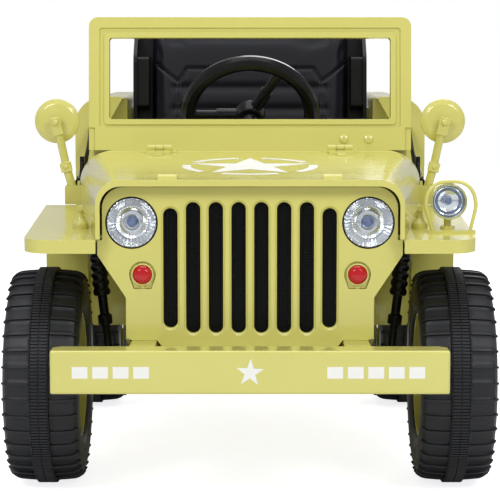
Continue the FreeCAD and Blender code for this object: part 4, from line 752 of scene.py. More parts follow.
    def ring(self, count: int, centre: Vector, axis: Vector) -> "Piece":
        """Repeats the mesh round an axis, neighbours merged.

        Args:
            count: Copies in the full turn.
            centre: A point on the axis.
            axis: The axis' direction.

        Returns:
            The piece itself.
        """
        self.lay_down()
        bpy.ops.object.empty_add()
        guide = bpy.context.object
        guide.matrix_world = (Matrix.Translation(centre) @ Matrix.Rotation(math.tau / count, 4, axis)
                              @ Matrix.Translation(-centre))
        bpy.context.view_layer.update()
        self.modify("ARRAY", count=count, use_relative_offset=False, use_object_offset=True,
                    offset_object=guide, use_merge_vertices=True, use_merge_vertices_cap=True,
                    merge_threshold=0.00004)
        bpy.data.objects.remove(guide)
        return self

    def row(self, count: int, step: Vector) -> "Piece":
        """Repeats the mesh in a straight row."""
        return self.modify("ARRAY", count=count, use_relative_offset=False, use_constant_offset=True,
                           constant_offset_displace=step)

    def join(self, others: Sequence["Piece"]) -> "Piece":
        """Joins other pieces into this one.

        Args:
            others: The pieces, which are gone afterwards.

        Returns:
            The piece itself.
        """
        self.take()
        for other in others:
            other.thing.select_set(True)
        bpy.ops.object.join()
        return self

    def renamed(self, name: str) -> "Piece":
        """Gives the object another name."""
        self.thing.name = name
        return self

    def twin(self, name: str, matrix: Matrix) -> "Piece":
        """Copies the piece with its own mesh, which a mirroring matrix leaves right side out.

        Args:
            name: The copy's name.
            matrix: Where the copy goes.

        Returns:
            The copy.
        """
        thing = self.thing.copy()
        thing.data = self.thing.data.copy()
        bpy.context.scene.collection.objects.link(thing)
        thing.data.transform(matrix)
        if matrix.determinant() < 0:
            thing.data.flip_normals()
        return Piece(name, thing)

    def mount(self, body: str, slot: Slot, material: bpy.types.Material, *nodes: str) -> "Piece":
        """Gives the piece its finish and lets it ride on a body.

        Args:
            body: The body that it moves with.
            slot: The record's slot; not used.
            material: Its finish.
            nodes: CAD nodes that it stands for.

        Returns:
            The piece itself.
        """
        self.thing.data.materials.clear()
        self.thing.data.materials.append(material)
        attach(self.thing, body)
        if nodes:
            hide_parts(*nodes)
        log.info("%s on %s", self.thing.name, body)
        return self

    def mount_pair(self, name: str, body: str, slot: Slot, material: bpy.types.Material, *nodes: str) -> None:
        """Mounts a copy of this left pattern and its mirror image, and removes the pattern.

        Args:
            name: The pieces' name, which the side is added to.
            body: The body that they move with.
            slot: The record's slot.
            material: Their finish.
            nodes: CAD nodes that the two stand for.
        """
        for side, mirror in SIDES:
            self.twin(f"{name}_{side}", mirror).mount(body, slot, material, *nodes)
        bpy.data.objects.remove(self.thing)


def wheel_place(tyre: str) -> Matrix:
    """Where a wheel goes that is modelled round the origin with its outer side to +X.

    Args:
        tyre: The wheel's tyre node.

    Returns:
        The matrix from the bench to the car.
    """
    low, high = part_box(tyre)
    turn = math.pi if tyre.endswith("right") else math.pi / 2.0 if tyre.startswith("spare") else 0.0
    return Matrix.Translation((low + high) / 2.0) @ Matrix.Rotation(turn, 4, "Z")


@dataclass
class Tyres:
    """Five moulded tyres: a ribbed centre ridge, and dished lugs on both sides of it.

    Attributes:
        dish_start: Where the dished band of a lug begins, from the tyre's middle.
        dish_inset: How far that band ends from the tyre's side.
        dish_share: Part of the pitch on each side of a lug's middle that is dished.
        gap_reach: How far the gaps between lugs run down the side.
        line_half: Half the thin line between the two bars of a rib.
    """

    paints: Paintbox
    nodes: tuple[str, ...] = ("tyre_front_left", "tyre_front_right", "tyre_rear_left", "tyre_rear_right",
                              "spare_tyre")
    bore: float = 88.3 * MM
    ridge_half: float = 13.0 * MM
    ridge_height: float = 7.0 * MM
    lug_count: int = 40
    lug_gap: float = 3.4 * MM
    lug_depth: float = 3.4 * MM
    lug_dish: float = 1.6 * MM
    lug_steps: int = 3
    dish_start: float = 16.0 * MM
    dish_inset: float = 7.0 * MM
    dish_share: float = 0.3
    gap_reach: float = 19.0 * MM
    edge: float = 0.45 * MM
    rib_count: int = 207
    rib_reach: float = 11.4 * MM
    rib_width: float = 2.9 * MM
    rib_height: float = 2.2 * MM
    rib_root: float = 0.3 * MM
    rib_edge: float = 0.5 * MM
    line_half: float = 0.6 * MM
    half: float = field(init=False)
    radius: float = field(init=False)

    def build(self) -> None:
        """Models one tyre and copies it to its five places."""
        low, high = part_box(self.nodes[0])
        self.half = (high.x - low.x) / 2.0
        self.radius = (high.z - low.z) / 2.0
        pattern = self._carcass("tyre_pattern").join([self._ribs()]).smooth(34.0)
        for node in self.nodes:
            body = frame["nodes"][node]["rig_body"]
            tread = pattern.twin(node + "_tread", wheel_place(node))
            tread.mount(body, Slot.TYRE, self.paints.tyre, node)
        bpy.data.objects.remove(pattern.thing)

    def _profile(self) -> list[tuple[float, float]]:
        """Half section from the bead to the ridge, as (distance from the middle, radius)."""
        wall, top = self.half, self.radius
        lug_top = top - self.ridge_height
        return [(wall - 8 * MM, self.bore), (wall - 3.6 * MM, 92 * MM), (wall - 1.4 * MM, 98 * MM),
                (wall - 1.4 * MM, 100 * MM), (wall - 0.5 * MM, 101 * MM), (wall - 0.1 * MM, 116 * MM),
                (wall - 0.1 * MM, top - 26 * MM), (wall - 0.9 * MM, top - 21.4 * MM),
                (wall - 2.6 * MM, top - 16.6 * MM), (wall - 5.4 * MM, lug_top - 5.4 * MM),
                (wall - 9.2 * MM, lug_top - 3.0 * MM), (wall - 13.5 * MM, lug_top - 1.7 * MM),
                (30 * MM, lug_top - 1.0 * MM), (23 * MM, lug_top - 0.4 * MM), (16.5 * MM, lug_top),
                (self.ridge_half + 0.4 * MM, lug_top), (self.ridge_half - 0.4 * MM, top - 0.5 * MM),
                (self.ridge_half - 0.9 * MM, top), (self.rib_reach + 0.4 * MM, top),
                (self.rib_reach + 0.2 * MM, top - self.rib_height)]

    def _carcass(self, name: str) -> Piece:
        """Spins one lug's sector of the tyre from its section and repeats it round the axle.

        Args:
            name: The piece's name.

        Returns:
            The tyre without its ribs.
        """
        half = self._profile()
        section = half + [(-u, r) for u, r in reversed(half)]
        piece = Piece.path(name, [Vector((u, 0.0, r)) for u, r in section])
        piece.pick("VERT", lambda v: abs(v.co.z - self.bore) < 1e-6).fill().all()
        pitch = math.tau / self.lug_count
        gap = self.lug_gap / self.radius
        half_lug = (pitch - gap) / 2
        for angle, steps in ((half_lug, self.lug_steps), (gap, 1), (half_lug, self.lug_steps)):
            piece.spin(angle, ORIGIN, ACROSS, steps)

        def turned(co: Vector) -> float:
            """Angle of a point from the section it was spun from."""
            return abs(math.atan2(co.y, co.z))

        def lug_middle(vert: Any) -> bool:
            """True in the band of a lug that is dished, at its middle."""
            edge = min(turned(vert.co), abs(turned(vert.co) - pitch))
            in_band = self.dish_start < abs(vert.co.x) < self.half - self.dish_inset
            return in_band and edge < self.dish_share * pitch

        def in_gap(face: Any) -> bool:
            """True for the strip between two lugs."""
            co = face.calc_center_median()
            return (abs(turned(co) - pitch / 2) < gap / 4 and self.ridge_half + 0.5 * MM < abs(co.x)
                    and math.hypot(co.y, co.z) > self.radius - self.gap_reach)

        sink = 1.0 - self.lug_dish / self.radius
        piece.pick("VERT", lug_middle).scale((1.0, sink, sink), ORIGIN)
        piece.pick("FACE", in_gap).swell(-self.lug_depth)
        piece.all()
        bpy.ops.mesh.normals_make_consistent(inside=False)
        piece.done().ease(self.edge, 1).ring(self.lug_count, ORIGIN, ACROSS)
        return piece.edit().merge(0.00003).done()

    def _ribs(self) -> Piece:
        """The fine cross ribs of the ridge, a pair of bars each, on both sides of a thin middle line."""
        top = self.radius
        root = top - self.rib_height - self.rib_root
        bars = []
        for side in (-1, 1):
            inner, outer = sorted((side * self.line_half, side * self.rib_reach))
            bar = Piece.box("ridge_bar", Vector((inner, -self.rib_width / 2, root)),
                            Vector((outer, self.rib_width / 2, top - 0.02 * MM)))
            bar.edit().pick("EDGE", lambda e: all(v.co.z > top - 0.1 * MM for v in e.verts))
            bars.append(bar.bevel(self.rib_edge, 1).done())
        return bars[0].join(bars[1:]).ring(self.rib_count, ORIGIN, ACROSS)


@dataclass
class Lamp:
    """A round lamp that faces forward, its shells spun about its axis."""

    paints: Paintbox
    radius: float = field(init=False)
    centre: Vector = field(init=False)

    def _turned(self, name: str, section: Sequence[tuple[float, float]], steps: int) -> Piece:
        """Spins a shell about the lamp's axis.

        Args:
            name: The piece's name.
            section: Its corners, as (depth from the front, radius).
            steps: Corners round it.

        Returns:
            The shell, in edit mode.
        """
        piece = Piece.path(name, [self.centre + Vector((0, depth, radius)) for depth, radius in section])
        return piece.all().spin(math.tau, self.centre, BACKWARDS, steps).merge()


@dataclass
class Headlamps(Lamp):
    """Two headlamps: pleated reflector, hooded bulb and a shallow clear dome."""

    pleats: int = 36
    pleat_depth: float = 0.035
    shell_steps: int = 72
    shade_ring_radius: float = 1.3 * MM
    bulb_radius: float = 6.8 * MM
    hood_radius: float = 10.8 * MM
    depth: float = field(init=False)

    def build(self) -> None:
        """Models the left lamp and mirrors it."""
        low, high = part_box("headlamp_bowls")
        self.radius = (high.z - low.z) / 2.0
        self.depth = high.y - low.y
        self.centre = Vector((high.x - self.radius, low.y, (low.z + high.z) / 2.0))
        paints = self.paints
        for piece, name, slot, material, nodes in (
                (self._bowl(), "reflector", Slot.REFLECTOR, paints.chrome, ("headlamp_bowls",)),
                # The black ring is painted shade: it fills the dark gap round the dome.
                (self._rim(), "rim", Slot.BLACK, paints.black, ()),
                (self._hood(), "bulb_hood", Slot.REFLECTOR, paints.chrome, ()),
                (self._bulb(), "bulb", Slot.CLEAR, paints.bulb, ()),
                (self._dome(), "dome", Slot.CLEAR, paints.clear, ("headlamp_lenses",))):
            piece.mount_pair("headlamp_" + name, "chassis", slot, material, *nodes)

    def _bowl(self) -> Piece:
        """Reflector bowl with radial pleats in two rings."""
        wide, deep = self.radius, self.depth
        outer = [(deep, 0.0), (deep, wide - 9 * MM), (deep - 8 * MM, wide - 0.5 * MM), (0.0, wide)]
        inner = [(0.0, wide - 2 * MM), (2 * MM, wide - 3 * MM), (7 * MM, wide - 7 * MM),
                 (11.5 * MM, wide - 12.5 * MM), (12 * MM, wide - 13.5 * MM), (15.5 * MM, wide - 20 * MM),
                 (17 * MM, wide - 26 * MM), (17.5 * MM, 0.0)]
        piece = self._turned("reflector", outer + inner, self.pleats * 2)
        column = math.tau / (self.pleats * 2)

        def pleat(vert: Any) -> bool:
            """True for every other column of the reflecting side."""
            away = vert.co - self.centre
            reach = math.hypot(away.x, away.z)
            turn = round(math.atan2(away.x, away.z) / column)
            inside = 1.5 * MM < away.y < 16 * MM and reach < wide - 2.5 * MM
            return inside and turn % 2 == 0 and reach > 5 * MM

        sink = 1.0 - self.pleat_depth
        piece.pick("VERT", pleat).scale((sink, 1.0, sink), self.centre)
        return piece.done().smooth(12.0)

    def _rim(self) -> Piece:
        """Thin black ring round the dome: painted shade that stands in for the dark gap between the dome and
        the bowl.
        """
        piece = Piece.torus("rim", self.centre, (self.radius - self.shade_ring_radius, self.shade_ring_radius),
                            (math.pi / 2, 0, 0), (72, 10))
        piece.edit().all().move(Vector((0, -0.6 * MM, 0))).done()
        return piece.smooth()

    def _hood(self) -> Piece:
        """Short bright tube round the bulb."""
        wide = self.hood_radius
        section = [(17 * MM, wide - 1.5 * MM), (6 * MM, wide - 1.5 * MM), (5.4 * MM, wide - 0.8 * MM),
                   (6 * MM, wide), (17 * MM, wide + 0.5 * MM)]
        return self._turned("bulb_hood", section, 48).done().smooth()

    def _bulb(self) -> Piece:
        """Bluish glass cap of the bulb."""
        wide = self.bulb_radius
        section = [(4 * MM, 0.0), (4.6 * MM, wide * 0.45), (6.6 * MM, wide * 0.8), (9 * MM, wide),
                   (17 * MM, wide), (17 * MM, 0.0)]
        return self._turned("bulb", section, 36).done().modify("BEVEL", width=1.0 * MM, segments=2).smooth()

    def _dome(self) -> Piece:
        """Clear dome, thin and closed, its edge seated on the bowl."""
        wide = self.radius - 1.6 * MM
        outer = [(0.0, wide), (-2.2 * MM, wide), (-4.4 * MM, wide * 0.92), (-6.6 * MM, wide * 0.72),
                 (-8.2 * MM, wide * 0.42), (-8.8 * MM, 0.0)]
        inner = [(-7.2 * MM, 0.0), (-6.6 * MM, wide * 0.42), (-5.0 * MM, wide * 0.72),
                 (-2.8 * MM, wide * 0.88), (0.0, wide * 0.93)]
        return self._turned("dome", inner + outer, self.shell_steps).done().smooth(60.0)


@dataclass
class FogLamp(Lamp):
    """Bright liner of the fog lamp inside its olive bowl, and its ribbed lens."""

    shell_steps: int = 56
    gap: float = 0.4 * MM
    wall: float = 3.0 * MM

    def build(self) -> None:
        """Models the liner, the bulb and the lens."""
        low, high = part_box("fog_lamp_lens")
        self.radius = (high.z - low.z) / 2.0
        self.centre = Vector(((low.x + high.x) / 2.0, high.y, (low.z + high.z) / 2.0))
        self._liner().mount("chassis", Slot.REFLECTOR, self.paints.chrome)
        self._bulb().mount("chassis", Slot.CLEAR, self.paints.bulb)
        self._lens().mount("chassis", Slot.CLEAR, self.paints.clear, "fog_lamp_lens")

    def _liner(self) -> Piece:
        """Stepped reflector just inside the bowl's wall."""
        wide = self.radius - self.wall - self.gap
        section = [(0.2 * MM, wide), (7 * MM, wide - 3.5 * MM), (7.4 * MM, wide - 4.5 * MM),
                   (12 * MM, wide - 9 * MM), (12.4 * MM, wide - 10 * MM), (15 * MM, 0.0)]
        liner = self._turned("fog_lamp_liner", section, self.shell_steps).done()
        return liner.modify("SOLIDIFY", thickness=0.5 * MM, offset=1.0).smooth(20.0)

    def _bulb(self) -> Piece:
        """Bulb cap in the middle of the liner."""
        section = [(5 * MM, 0.0), (6 * MM, 3 * MM), (8 * MM, 4.6 * MM), (14 * MM, 4.6 * MM), (14 * MM, 0.0)]
        return self._turned("fog_lamp_bulb", section, 28).done().smooth(60.0)

    def _lens(self) -> Piece:
        """Lens with a rolled edge, stepped in rings as moulded ones are."""
        wide = self.radius
        section = [(-0.2 * MM, 0.0), (-0.2 * MM, wide * 0.84), (0.0, wide), (-2.6 * MM, wide),
                   (-3.4 * MM, wide * 0.9), (-4.8 * MM, wide * 0.74), (-4.4 * MM, wide * 0.72),
                   (-6.2 * MM, wide * 0.45), (-5.8 * MM, wide * 0.43), (-6.9 * MM, 0.0)]
        return self._turned("fog_lamp_face", section, self.shell_steps).done().smooth(30.0)


@dataclass
class GrilleMesh:
    """Black mesh behind the slots, a plate with a waffle of small pits."""

    paints: Paintbox
    pitch: float = 3.4 * MM
    web: float = 0.75 * MM
    pit: float = 0.9 * MM

    def build(self) -> None:
        """Divides the plate's front into cells and sinks each of them."""
        low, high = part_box("grille_mesh")
        piece = Piece.box("grille_wire_mesh", low, high)
        piece.edit().pick("FACE", lambda f: f.normal.y < -0.9)
        bpy.ops.mesh.delete(type="ONLY_FACE")
        across = round((high.x - low.x) / self.pitch)
        up = round((high.z - low.z) / self.pitch)
        piece.done()
        face = Piece.grid("mesh_face", low, Vector((high.x, low.y, high.z)), across, up)
        face.edit().all()
        bpy.ops.mesh.inset(thickness=self.web, depth=-self.pit, use_individual=True)
        face.done()
        piece.join([face]).mount("chassis", Slot.MESH, self.paints.black, "grille_mesh")


@dataclass
class Stencils:
    """White stencil paint: star in a broken ring on the hood, star and plain stripes on the bumper.

    Attributes:
        hood_centre: The ring's middle, in millimetres behind the front axle.
        gap_half: Half a gap of the ring, in degrees.
        star_lean: Turn of the bumper's star, in degrees.
        mark_rows: Name, first edge and count of each row of stripes.
        drop_height: Height in millimetres from which the paint is laid down.
    """

    paints: Paintbox
    coat: float = 0.15 * MM
    hood_centre: float = 8.0
    ring_radius: float = 94.0 * MM
    ring_width: float = 12.0 * MM
    ring_stretch: float = 1.1
    gap_half: float = 11.0
    bumper_star: float = 18.6 * MM
    star_lean: float = 3.0
    mark_size: tuple[float, float] = (20.0 * MM, 15.0 * MM)
    mark_pitch: float = 26.0 * MM
    mark_rows: tuple[tuple[str, float, int], ...] = (("bumper_marks_right", -226.0 * MM, 4),
                                                     ("bumper_marks_left", 98.0 * MM, 5))
    drop_height: float = 600.0

    def build(self) -> None:
        """Paints the hood and the bumper."""
        self._hood_sign()
        self._bumper_signs()

    def _star(self, name: str, radius: float) -> Piece:
        """Makes a flat five-point star round the origin, one point along +Y.

        Args:
            name: The piece's name.
            radius: From the middle to a point.

        Returns:
            The star.
        """
        Piece.lay_down()
        bpy.ops.mesh.primitive_circle_add(vertices=10, radius=radius, fill_type="NGON")
        piece = Piece(name, bpy.context.object)
        waist = math.sin(math.radians(18)) / math.cos(math.radians(36))

        def between(vert: Any) -> bool:
            """True for a corner between two points of the star."""
            turn = round(math.degrees(math.atan2(vert.co.x, vert.co.y)) / 36.0)
            return turn % 2 != 0

        piece.edit().pick("VERT", between).scale((waist, waist, 1.0), ORIGIN)
        return piece.done()

    def _ring(self, name: str) -> Piece:
        """Makes five flat arcs round the origin, one between each two points of the star.

        Args:
            name: The piece's name.

        Returns:
            The broken ring.
        """
        edge = [Vector((0, self.ring_radius - self.ring_width, 0)), Vector((0, self.ring_radius, 0))]
        sweep = math.radians(72.0 - 2 * self.gap_half)
        arc = Piece.path(name, edge)
        arc.all().spin(sweep, ORIGIN, UP, 14).all()
        bpy.ops.transform.rotate(value=math.radians(self.gap_half), orient_axis="Z",
                                 center_override=(0, 0, 0))
        return arc.done().ring(5, ORIGIN, UP)

    def _hood_sign(self) -> None:
        """Lays the ringed star on the hood's slope."""
        sign = self._star("hood_star", self.ring_radius - self.ring_width * 0.35)
        sign = sign.join([self._ring("hood_ring")])
        sign.edit().all()
        bpy.ops.mesh.quads_convert_to_tris()
        bpy.ops.mesh.subdivide(number_cuts=3)
        sign.scale((1.0, self.ring_stretch, 1.0), ORIGIN)
        sign.move(at(0.0, self.hood_centre, self.drop_height)).done().lay_on("hood_finished", self.coat)
        sign.mount("hood", Slot.OLIVE, self.paints.white)

    def _bumper_signs(self) -> None:
        """Sets the star and two plain broken stripes on the bumper's face."""
        low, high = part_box("front_bumper")
        face, middle = low.y, (low.z + high.z) / 2.0
        star = self._star("bumper_star", self.bumper_star)
        stand = (Matrix.Translation((0, face - self.coat, middle)) @ Matrix.Rotation(math.pi / 2, 4, "X")
                 @ Matrix.Rotation(-math.radians(self.star_lean), 4, "Z"))
        star.thing.data.transform(stand)
        star.mount("chassis", Slot.OLIVE, self.paints.white)
        width, height = self.mark_size
        for name, start, count in self.mark_rows:
            corner = Vector((start, face - self.coat, middle - height / 2.0))
            bar = Piece.box(name, corner, Vector((start + width, face - 0.01 * MM, middle + height / 2.0)))
            bar.row(count, Vector((self.mark_pitch, 0, 0)))
            bar.mount("chassis", Slot.OLIVE, self.paints.white)


@dataclass(frozen=True)
class Seam:
    """A straight sewn line or pressed channel across a pad, in the pad's own plane."""

    start: tuple[float, float]
    stop: tuple[float, float]
    depth: float
    width: float = 2.6 * MM

    @property
    def sewn(self) -> bool:
        """True for a narrow line, which has stitches; a pressed channel is wide."""
        return self.width < 3.0 * MM

    def press(self, u: float, v: float) -> float:
        """How deep the line pulls the pad in at a point.

        Args:
            u: Place across the pad.
            v: Place up or along the pad.

        Returns:
            The depth in metres.
        """
        run_u, run_v = self.stop[0] - self.start[0], self.stop[1] - self.start[1]
        share = ((u - self.start[0]) * run_u + (v - self.start[1]) * run_v) / (run_u ** 2 + run_v ** 2)
        share = min(1.0, max(0.0, share))
        away = math.hypot(u - self.start[0] - share * run_u, v - self.start[1] - share * run_v)
        return self.depth * math.exp(-(away / self.width) ** 2)


@dataclass
class SoftPad:
    """One stuffed pad: a copy of its solid, swollen by cloth pressure, then drawn in along its seams.

    Attributes:
        across: The axis that runs up or along the pad.
        facing: The axis that the show face looks along.
        outward: Which way it looks along that axis.
        lean: Metres back per metre up.
        room: How far the copy is shrunk before it swells.
        corner: Rounding of the show edges.
        travel: The furthest that a point may move as it swells.
        carried: Depth of the pinned rear.
        fold: Angle in radians from which an edge is rounded.
        show: How squarely a face has to look outwards before a seam presses it.
        full: How squarely it has to look outwards to be pressed all the way.
        stand_off: Distance from which the stitches are laid on.
    """

    node: str
    seams: Sequence[Seam]
    across: int
    facing: int
    outward: float
    lean: float = 0.0
    voxel: float = 5.0 * MM
    room: float = 3.5 * MM
    corner: float = 9.0 * MM
    pressure: float = 4.0
    frames: int = 20
    travel: float = 7.0 * MM
    carried: float = 2.0 * MM
    fold: float = 0.5
    show: float = 0.25
    full: float = 0.65
    stitch: tuple[float, float] = (3.0 * MM, 0.7 * MM)
    stitch_pitch: float = 4.6 * MM
    stitch_gap: float = 2.6 * MM
    stitch_proud: float = 0.25 * MM
    stand_off: float = 60.0 * MM
    seat: float = field(init=False)

    def back(self, co: Vector) -> float:
        """Distance of a point in front of the pad's carried face, whatever its lean."""
        return self.outward * (co[self.facing] - self.lean * co.z) - self.seat

    def build(self, seat: bpy.types.Material, thread: bpy.types.Material) -> None:
        """Makes the pad and its stitches.

        Args:
            seat: The covering.
            thread: The sewing thread.
        """
        low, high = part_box(self.node)
        piece = Piece.copy_of(self.node + "_stuffed", self.node)
        cover = bmesh.from_edit_mesh(piece.thing.data)
        self.seat = min(self.outward * (v.co[self.facing] - self.lean * v.co.z) for v in cover.verts)
        self._make_room(piece, low, high)
        piece.thing.data.remesh_voxel_size = self.voxel
        piece.take()
        bpy.ops.object.voxel_remesh()
        self._swell(piece)
        piece.modify("SUBSURF", levels=1)
        self._draw_in(piece, low, high)
        piece.smooth(70.0).mount("chassis", Slot.SEAT, seat, self.node)
        self._sew(piece).mount("chassis", Slot.SEAT, thread)

    def _make_room(self, piece: Piece, low: Vector, high: Vector) -> None:
        """Shrinks the copy by the room that the stuffing needs, and rounds its show edges.

        Args:
            piece: The copied solid, in edit mode.
            low: The solid's lowest corner.
            high: Its highest corner.
        """
        shrink = [1.0, 1.0, 1.0]
        for axis in {0, self.across}:
            shrink[axis] = 1.0 - 2.0 * self.room / (high[axis] - low[axis])
        step = Vector((0, 0, 0))
        step[self.facing] = -self.outward * self.room

        def shown(vert: Any) -> bool:
            """True away from the carried face."""
            return self.back(vert.co) > self.room

        piece.pick("VERT", shown).move(step)
        piece.all().scale(shrink, (low + high) / 2.0)
        piece.pick("EDGE", lambda e: e.calc_face_angle(0.0) > self.fold and all(shown(v) for v in e.verts))
        piece.bevel(self.corner, 3).done()

    def _swell(self, piece: Piece) -> None:
        """Inflates the cover under cloth pressure, its carried face pinned, and limits each point's way.

        Args:
            piece: The remeshed pad.
        """
        thing = piece.thing
        before = [vert.co.copy() for vert in thing.data.vertices]
        pinned = thing.vertex_groups.new(name="carried")
        pinned.add([i for i, co in enumerate(before) if self.back(co) < self.carried], 1.0, "REPLACE")
        cloth = thing.modifiers.new("cloth", "CLOTH")
        settings = cloth.settings
        settings.quality = 6
        settings.use_pressure = True
        settings.uniform_pressure_force = self.pressure
        settings.effector_weights.gravity = 0.0
        settings.vertex_group_mass = pinned.name
        cloth.point_cache.frame_start = 1
        cloth.point_cache.frame_end = self.frames
        for number in range(1, self.frames + 1):
            bpy.context.scene.frame_set(number)
        bpy.ops.object.modifier_apply(modifier=cloth.name)
        bpy.context.scene.frame_set(1)
        for vert, old in zip(thing.data.vertices, before):
            way = vert.co - old
            if way.length > self.travel:
                vert.co = old + way * (self.travel / way.length)
        thing.vertex_groups.clear()

    def _draw_in(self, piece: Piece, low: Vector, high: Vector) -> None:
        """Presses the seams into the show face and keeps the cover inside the space of its solid.

        Args:
            piece: The swollen pad.
            low: The solid's lowest corner.
            high: Its highest corner.
        """
        cover = piece.thing.data.vertices
        fronts = [vert.normal[self.facing] * self.outward for vert in cover]
        for vert, front in zip(cover, fronts):
            if front > self.show:
                press = max(seam.press(vert.co.x, vert.co[self.across]) for seam in self.seams)
                share = min(1.0, (front - self.show) / (self.full - self.show))
                vert.co[self.facing] -= self.outward * press * share
            lift = self.back(vert.co)
            if lift < 0.0:
                vert.co[self.facing] -= self.outward * lift
            vert.co.x = min(high.x, max(low.x, vert.co.x))
            vert.co.z = min(high.z, max(low.z, vert.co.z))

    def _sew(self, piece: Piece) -> Piece:
        """Lays short stitches on both sides of the sewn seams.

        Args:
            piece: The finished pad.

        Returns:
            All its stitches as one piece; those that would miss the pad are left out.
        """
        rows = []
        for seam in self.seams:
            if not seam.sewn:
                continue
            run = Vector((seam.stop[0] - seam.start[0], seam.stop[1] - seam.start[1], 0.0))
            count = int(run.length / self.stitch_pitch)
            along = run.normalized()
            side = Vector((-along.y, along.x, 0.0))
            turn = math.atan2(along.y, along.x)
            first = Vector((*seam.start, 0.0)) + along * self.stitch_pitch / 2
            for way in (-1.0, 1.0):
                Piece.lay_down()
                bpy.ops.mesh.primitive_plane_add(size=1.0, location=first + side * way * self.stitch_gap,
                                                 rotation=(0, 0, turn))
                bpy.context.object.scale = (*self.stitch, 1.0)
                rows.append(Piece.added("stitches").row(count, along * self.stitch_pitch))
        sewing = rows[0].join(rows[1:]).renamed(self.node + "_stitches")
        low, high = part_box(self.node)
        upright = self.facing == 1
        if upright:
            start = low.y - self.stand_off
            place = Matrix.Translation((0, start, 0)) @ Matrix.Rotation(math.pi / 2, 4, "X")
        else:
            start = high.z + self.stand_off
            place = Matrix.Translation((0, 0, start))
        sewing.thing.data.transform(place)
        sewing.modify("SHRINKWRAP", wrap_method="PROJECT", target=piece.thing, use_project_y=upright,
                      use_project_z=not upright, use_negative_direction=True, use_positive_direction=True,
                      offset=self.stitch_proud)
        sewing.edit().pick("VERT", lambda v: abs(v.co[self.facing] - start) < self.stand_off / 2)
        bpy.ops.mesh.delete(type="VERT")
        return sewing.done()


@dataclass
class SeatPads:
    """Back pad with a channelled middle panel and mitred corners, and a base pad with cross channels."""

    paints: Paintbox
    panel_half: float = 120.0 * MM
    panel_foot_half: float = 129.0 * MM
    panel_top: float = 570.0 * MM
    panel_top_half: float = 106.0 * MM
    panel_corner: float = 547.0 * MM
    mitre: tuple[float, float] = (172.0 * MM, 588.0 * MM)
    channels: tuple[float, ...] = (538.0 * MM, 502.0 * MM, 466.0 * MM, 430.0 * MM, 394.0 * MM)
    channel_width: float = 7.0 * MM
    sewn_depth: float = 4.2 * MM
    corner_depth: float = 4.0 * MM
    channel_depth: float = 4.6 * MM
    base_half: float = 112.0 * MM
    base_border: float = 34.0 * MM
    base_rear: float = 6.0 * MM
    base_shares: tuple[float, ...] = (0.28, 0.56, 0.84)

    def build(self) -> None:
        """Builds both pads."""
        for pad in (self._back(), self._base()):
            pad.build(self.paints.seat, self.paints.thread)

    def _back(self) -> SoftPad:
        """The back pad and its seams."""
        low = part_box("seat_back_pad")[0]
        top_half, top = self.panel_top_half, self.panel_top
        seams = [Seam((-top_half, top), (top_half, top), self.sewn_depth)]
        for side in (-1, 1):
            corner = (side * self.panel_half, self.panel_corner)
            seams += [Seam((side * self.mitre[0], self.mitre[1]), corner, self.corner_depth),
                      Seam(corner, (side * top_half, top), self.sewn_depth),
                      Seam(corner, (side * self.panel_foot_half, low.z), self.sewn_depth)]
        half = self.panel_half + 4.0 * MM
        seams += [Seam((-half, height), (half, height), self.channel_depth, self.channel_width)
                  for height in self.channels]
        return SoftPad("seat_back_pad", seams, 2, 1, -1.0, frame_lean("seat_back_pad"))

    def _base(self) -> SoftPad:
        """The base pad and its seams."""
        low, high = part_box("seat_base_pad")
        half = self.base_half
        rear, front = high.y - self.base_rear, low.y + self.base_border
        seams = [Seam((-half, front), (half, front), self.corner_depth)]
        for side in (-1, 1):
            seams += [Seam((side * half, front), (side * half, rear), self.corner_depth),
                      Seam((side * half, front), (side * high.x, low.y), 3.6 * MM)]
        for share in self.base_shares:
            y = front + (rear - front) * share
            seams.append(Seam((-half, y), (half, y), self.sewn_depth, self.channel_width))
        return SoftPad("seat_base_pad", seams, 1, 2, 1.0)


def frame_lean(node: str) -> float:
    """Slope, as metres back per metre up, of the carried rear face of a leaning pad.

    Args:
        node: The pad's CAD node.

    Returns:
        The slope between its lowest and highest rear corners.
    """
    places = [vert.co for vert in frame["nodes"][node].data.vertices]
    bottom, top = min(co.z for co in places), max(co.z for co in places)
    foot = max(co.y for co in places if co.z < bottom + 0.1 * MM)
    crown = max(co.y for co in places if co.z > top - 0.1 * MM)
    return (crown - foot) / (top - bottom)


@dataclass
class ShellRibs:
    """Moulded ribs on the rear of the seat shell: two bars across and four uprights."""

    paints: Paintbox
    half: float = 4.0 * MM
    root: float = 2.0 * MM
    proud: float = 2.6 * MM
    uprights: tuple[float, ...] = (-135.0 * MM, -45.0 * MM, 45.0 * MM, 135.0 * MM)
    top_gap: float = 26.0 * MM
    length: float = 270.0 * MM
    bars: tuple[float, ...] = (0.0, 0.5)

    def build(self) -> None:
        """Models the ribs upright and leans them with the shell."""
        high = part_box("seat_shell")[1]
        lean = frame_lean("seat_back_pad")
        top = high.z - self.top_gap
        front = high.y - self.root
        ribs = [Piece.box("rib", Vector((x - self.half, front, top - self.length)),
                          Vector((x + self.half, high.y + self.proud, top))) for x in self.uprights]
        for share in self.bars:
            z = top - share * self.length
            ribs.append(Piece.box("rib", Vector((self.uprights[0] - self.half, front, z - 2 * self.half)),
                                  Vector((self.uprights[-1] + self.half, high.y + self.proud * 0.9, z))))
        whole = ribs[0].join(ribs[1:]).renamed("seat_shell_ribs").ease(1.0 * MM)
        shear = Matrix.Identity(4)
        shear[1][2] = lean
        shear[1][3] = -lean * high.z
        whole.thing.data.transform(shear)
        whole.smooth().mount("chassis", Slot.BLACK, self.paints.black)


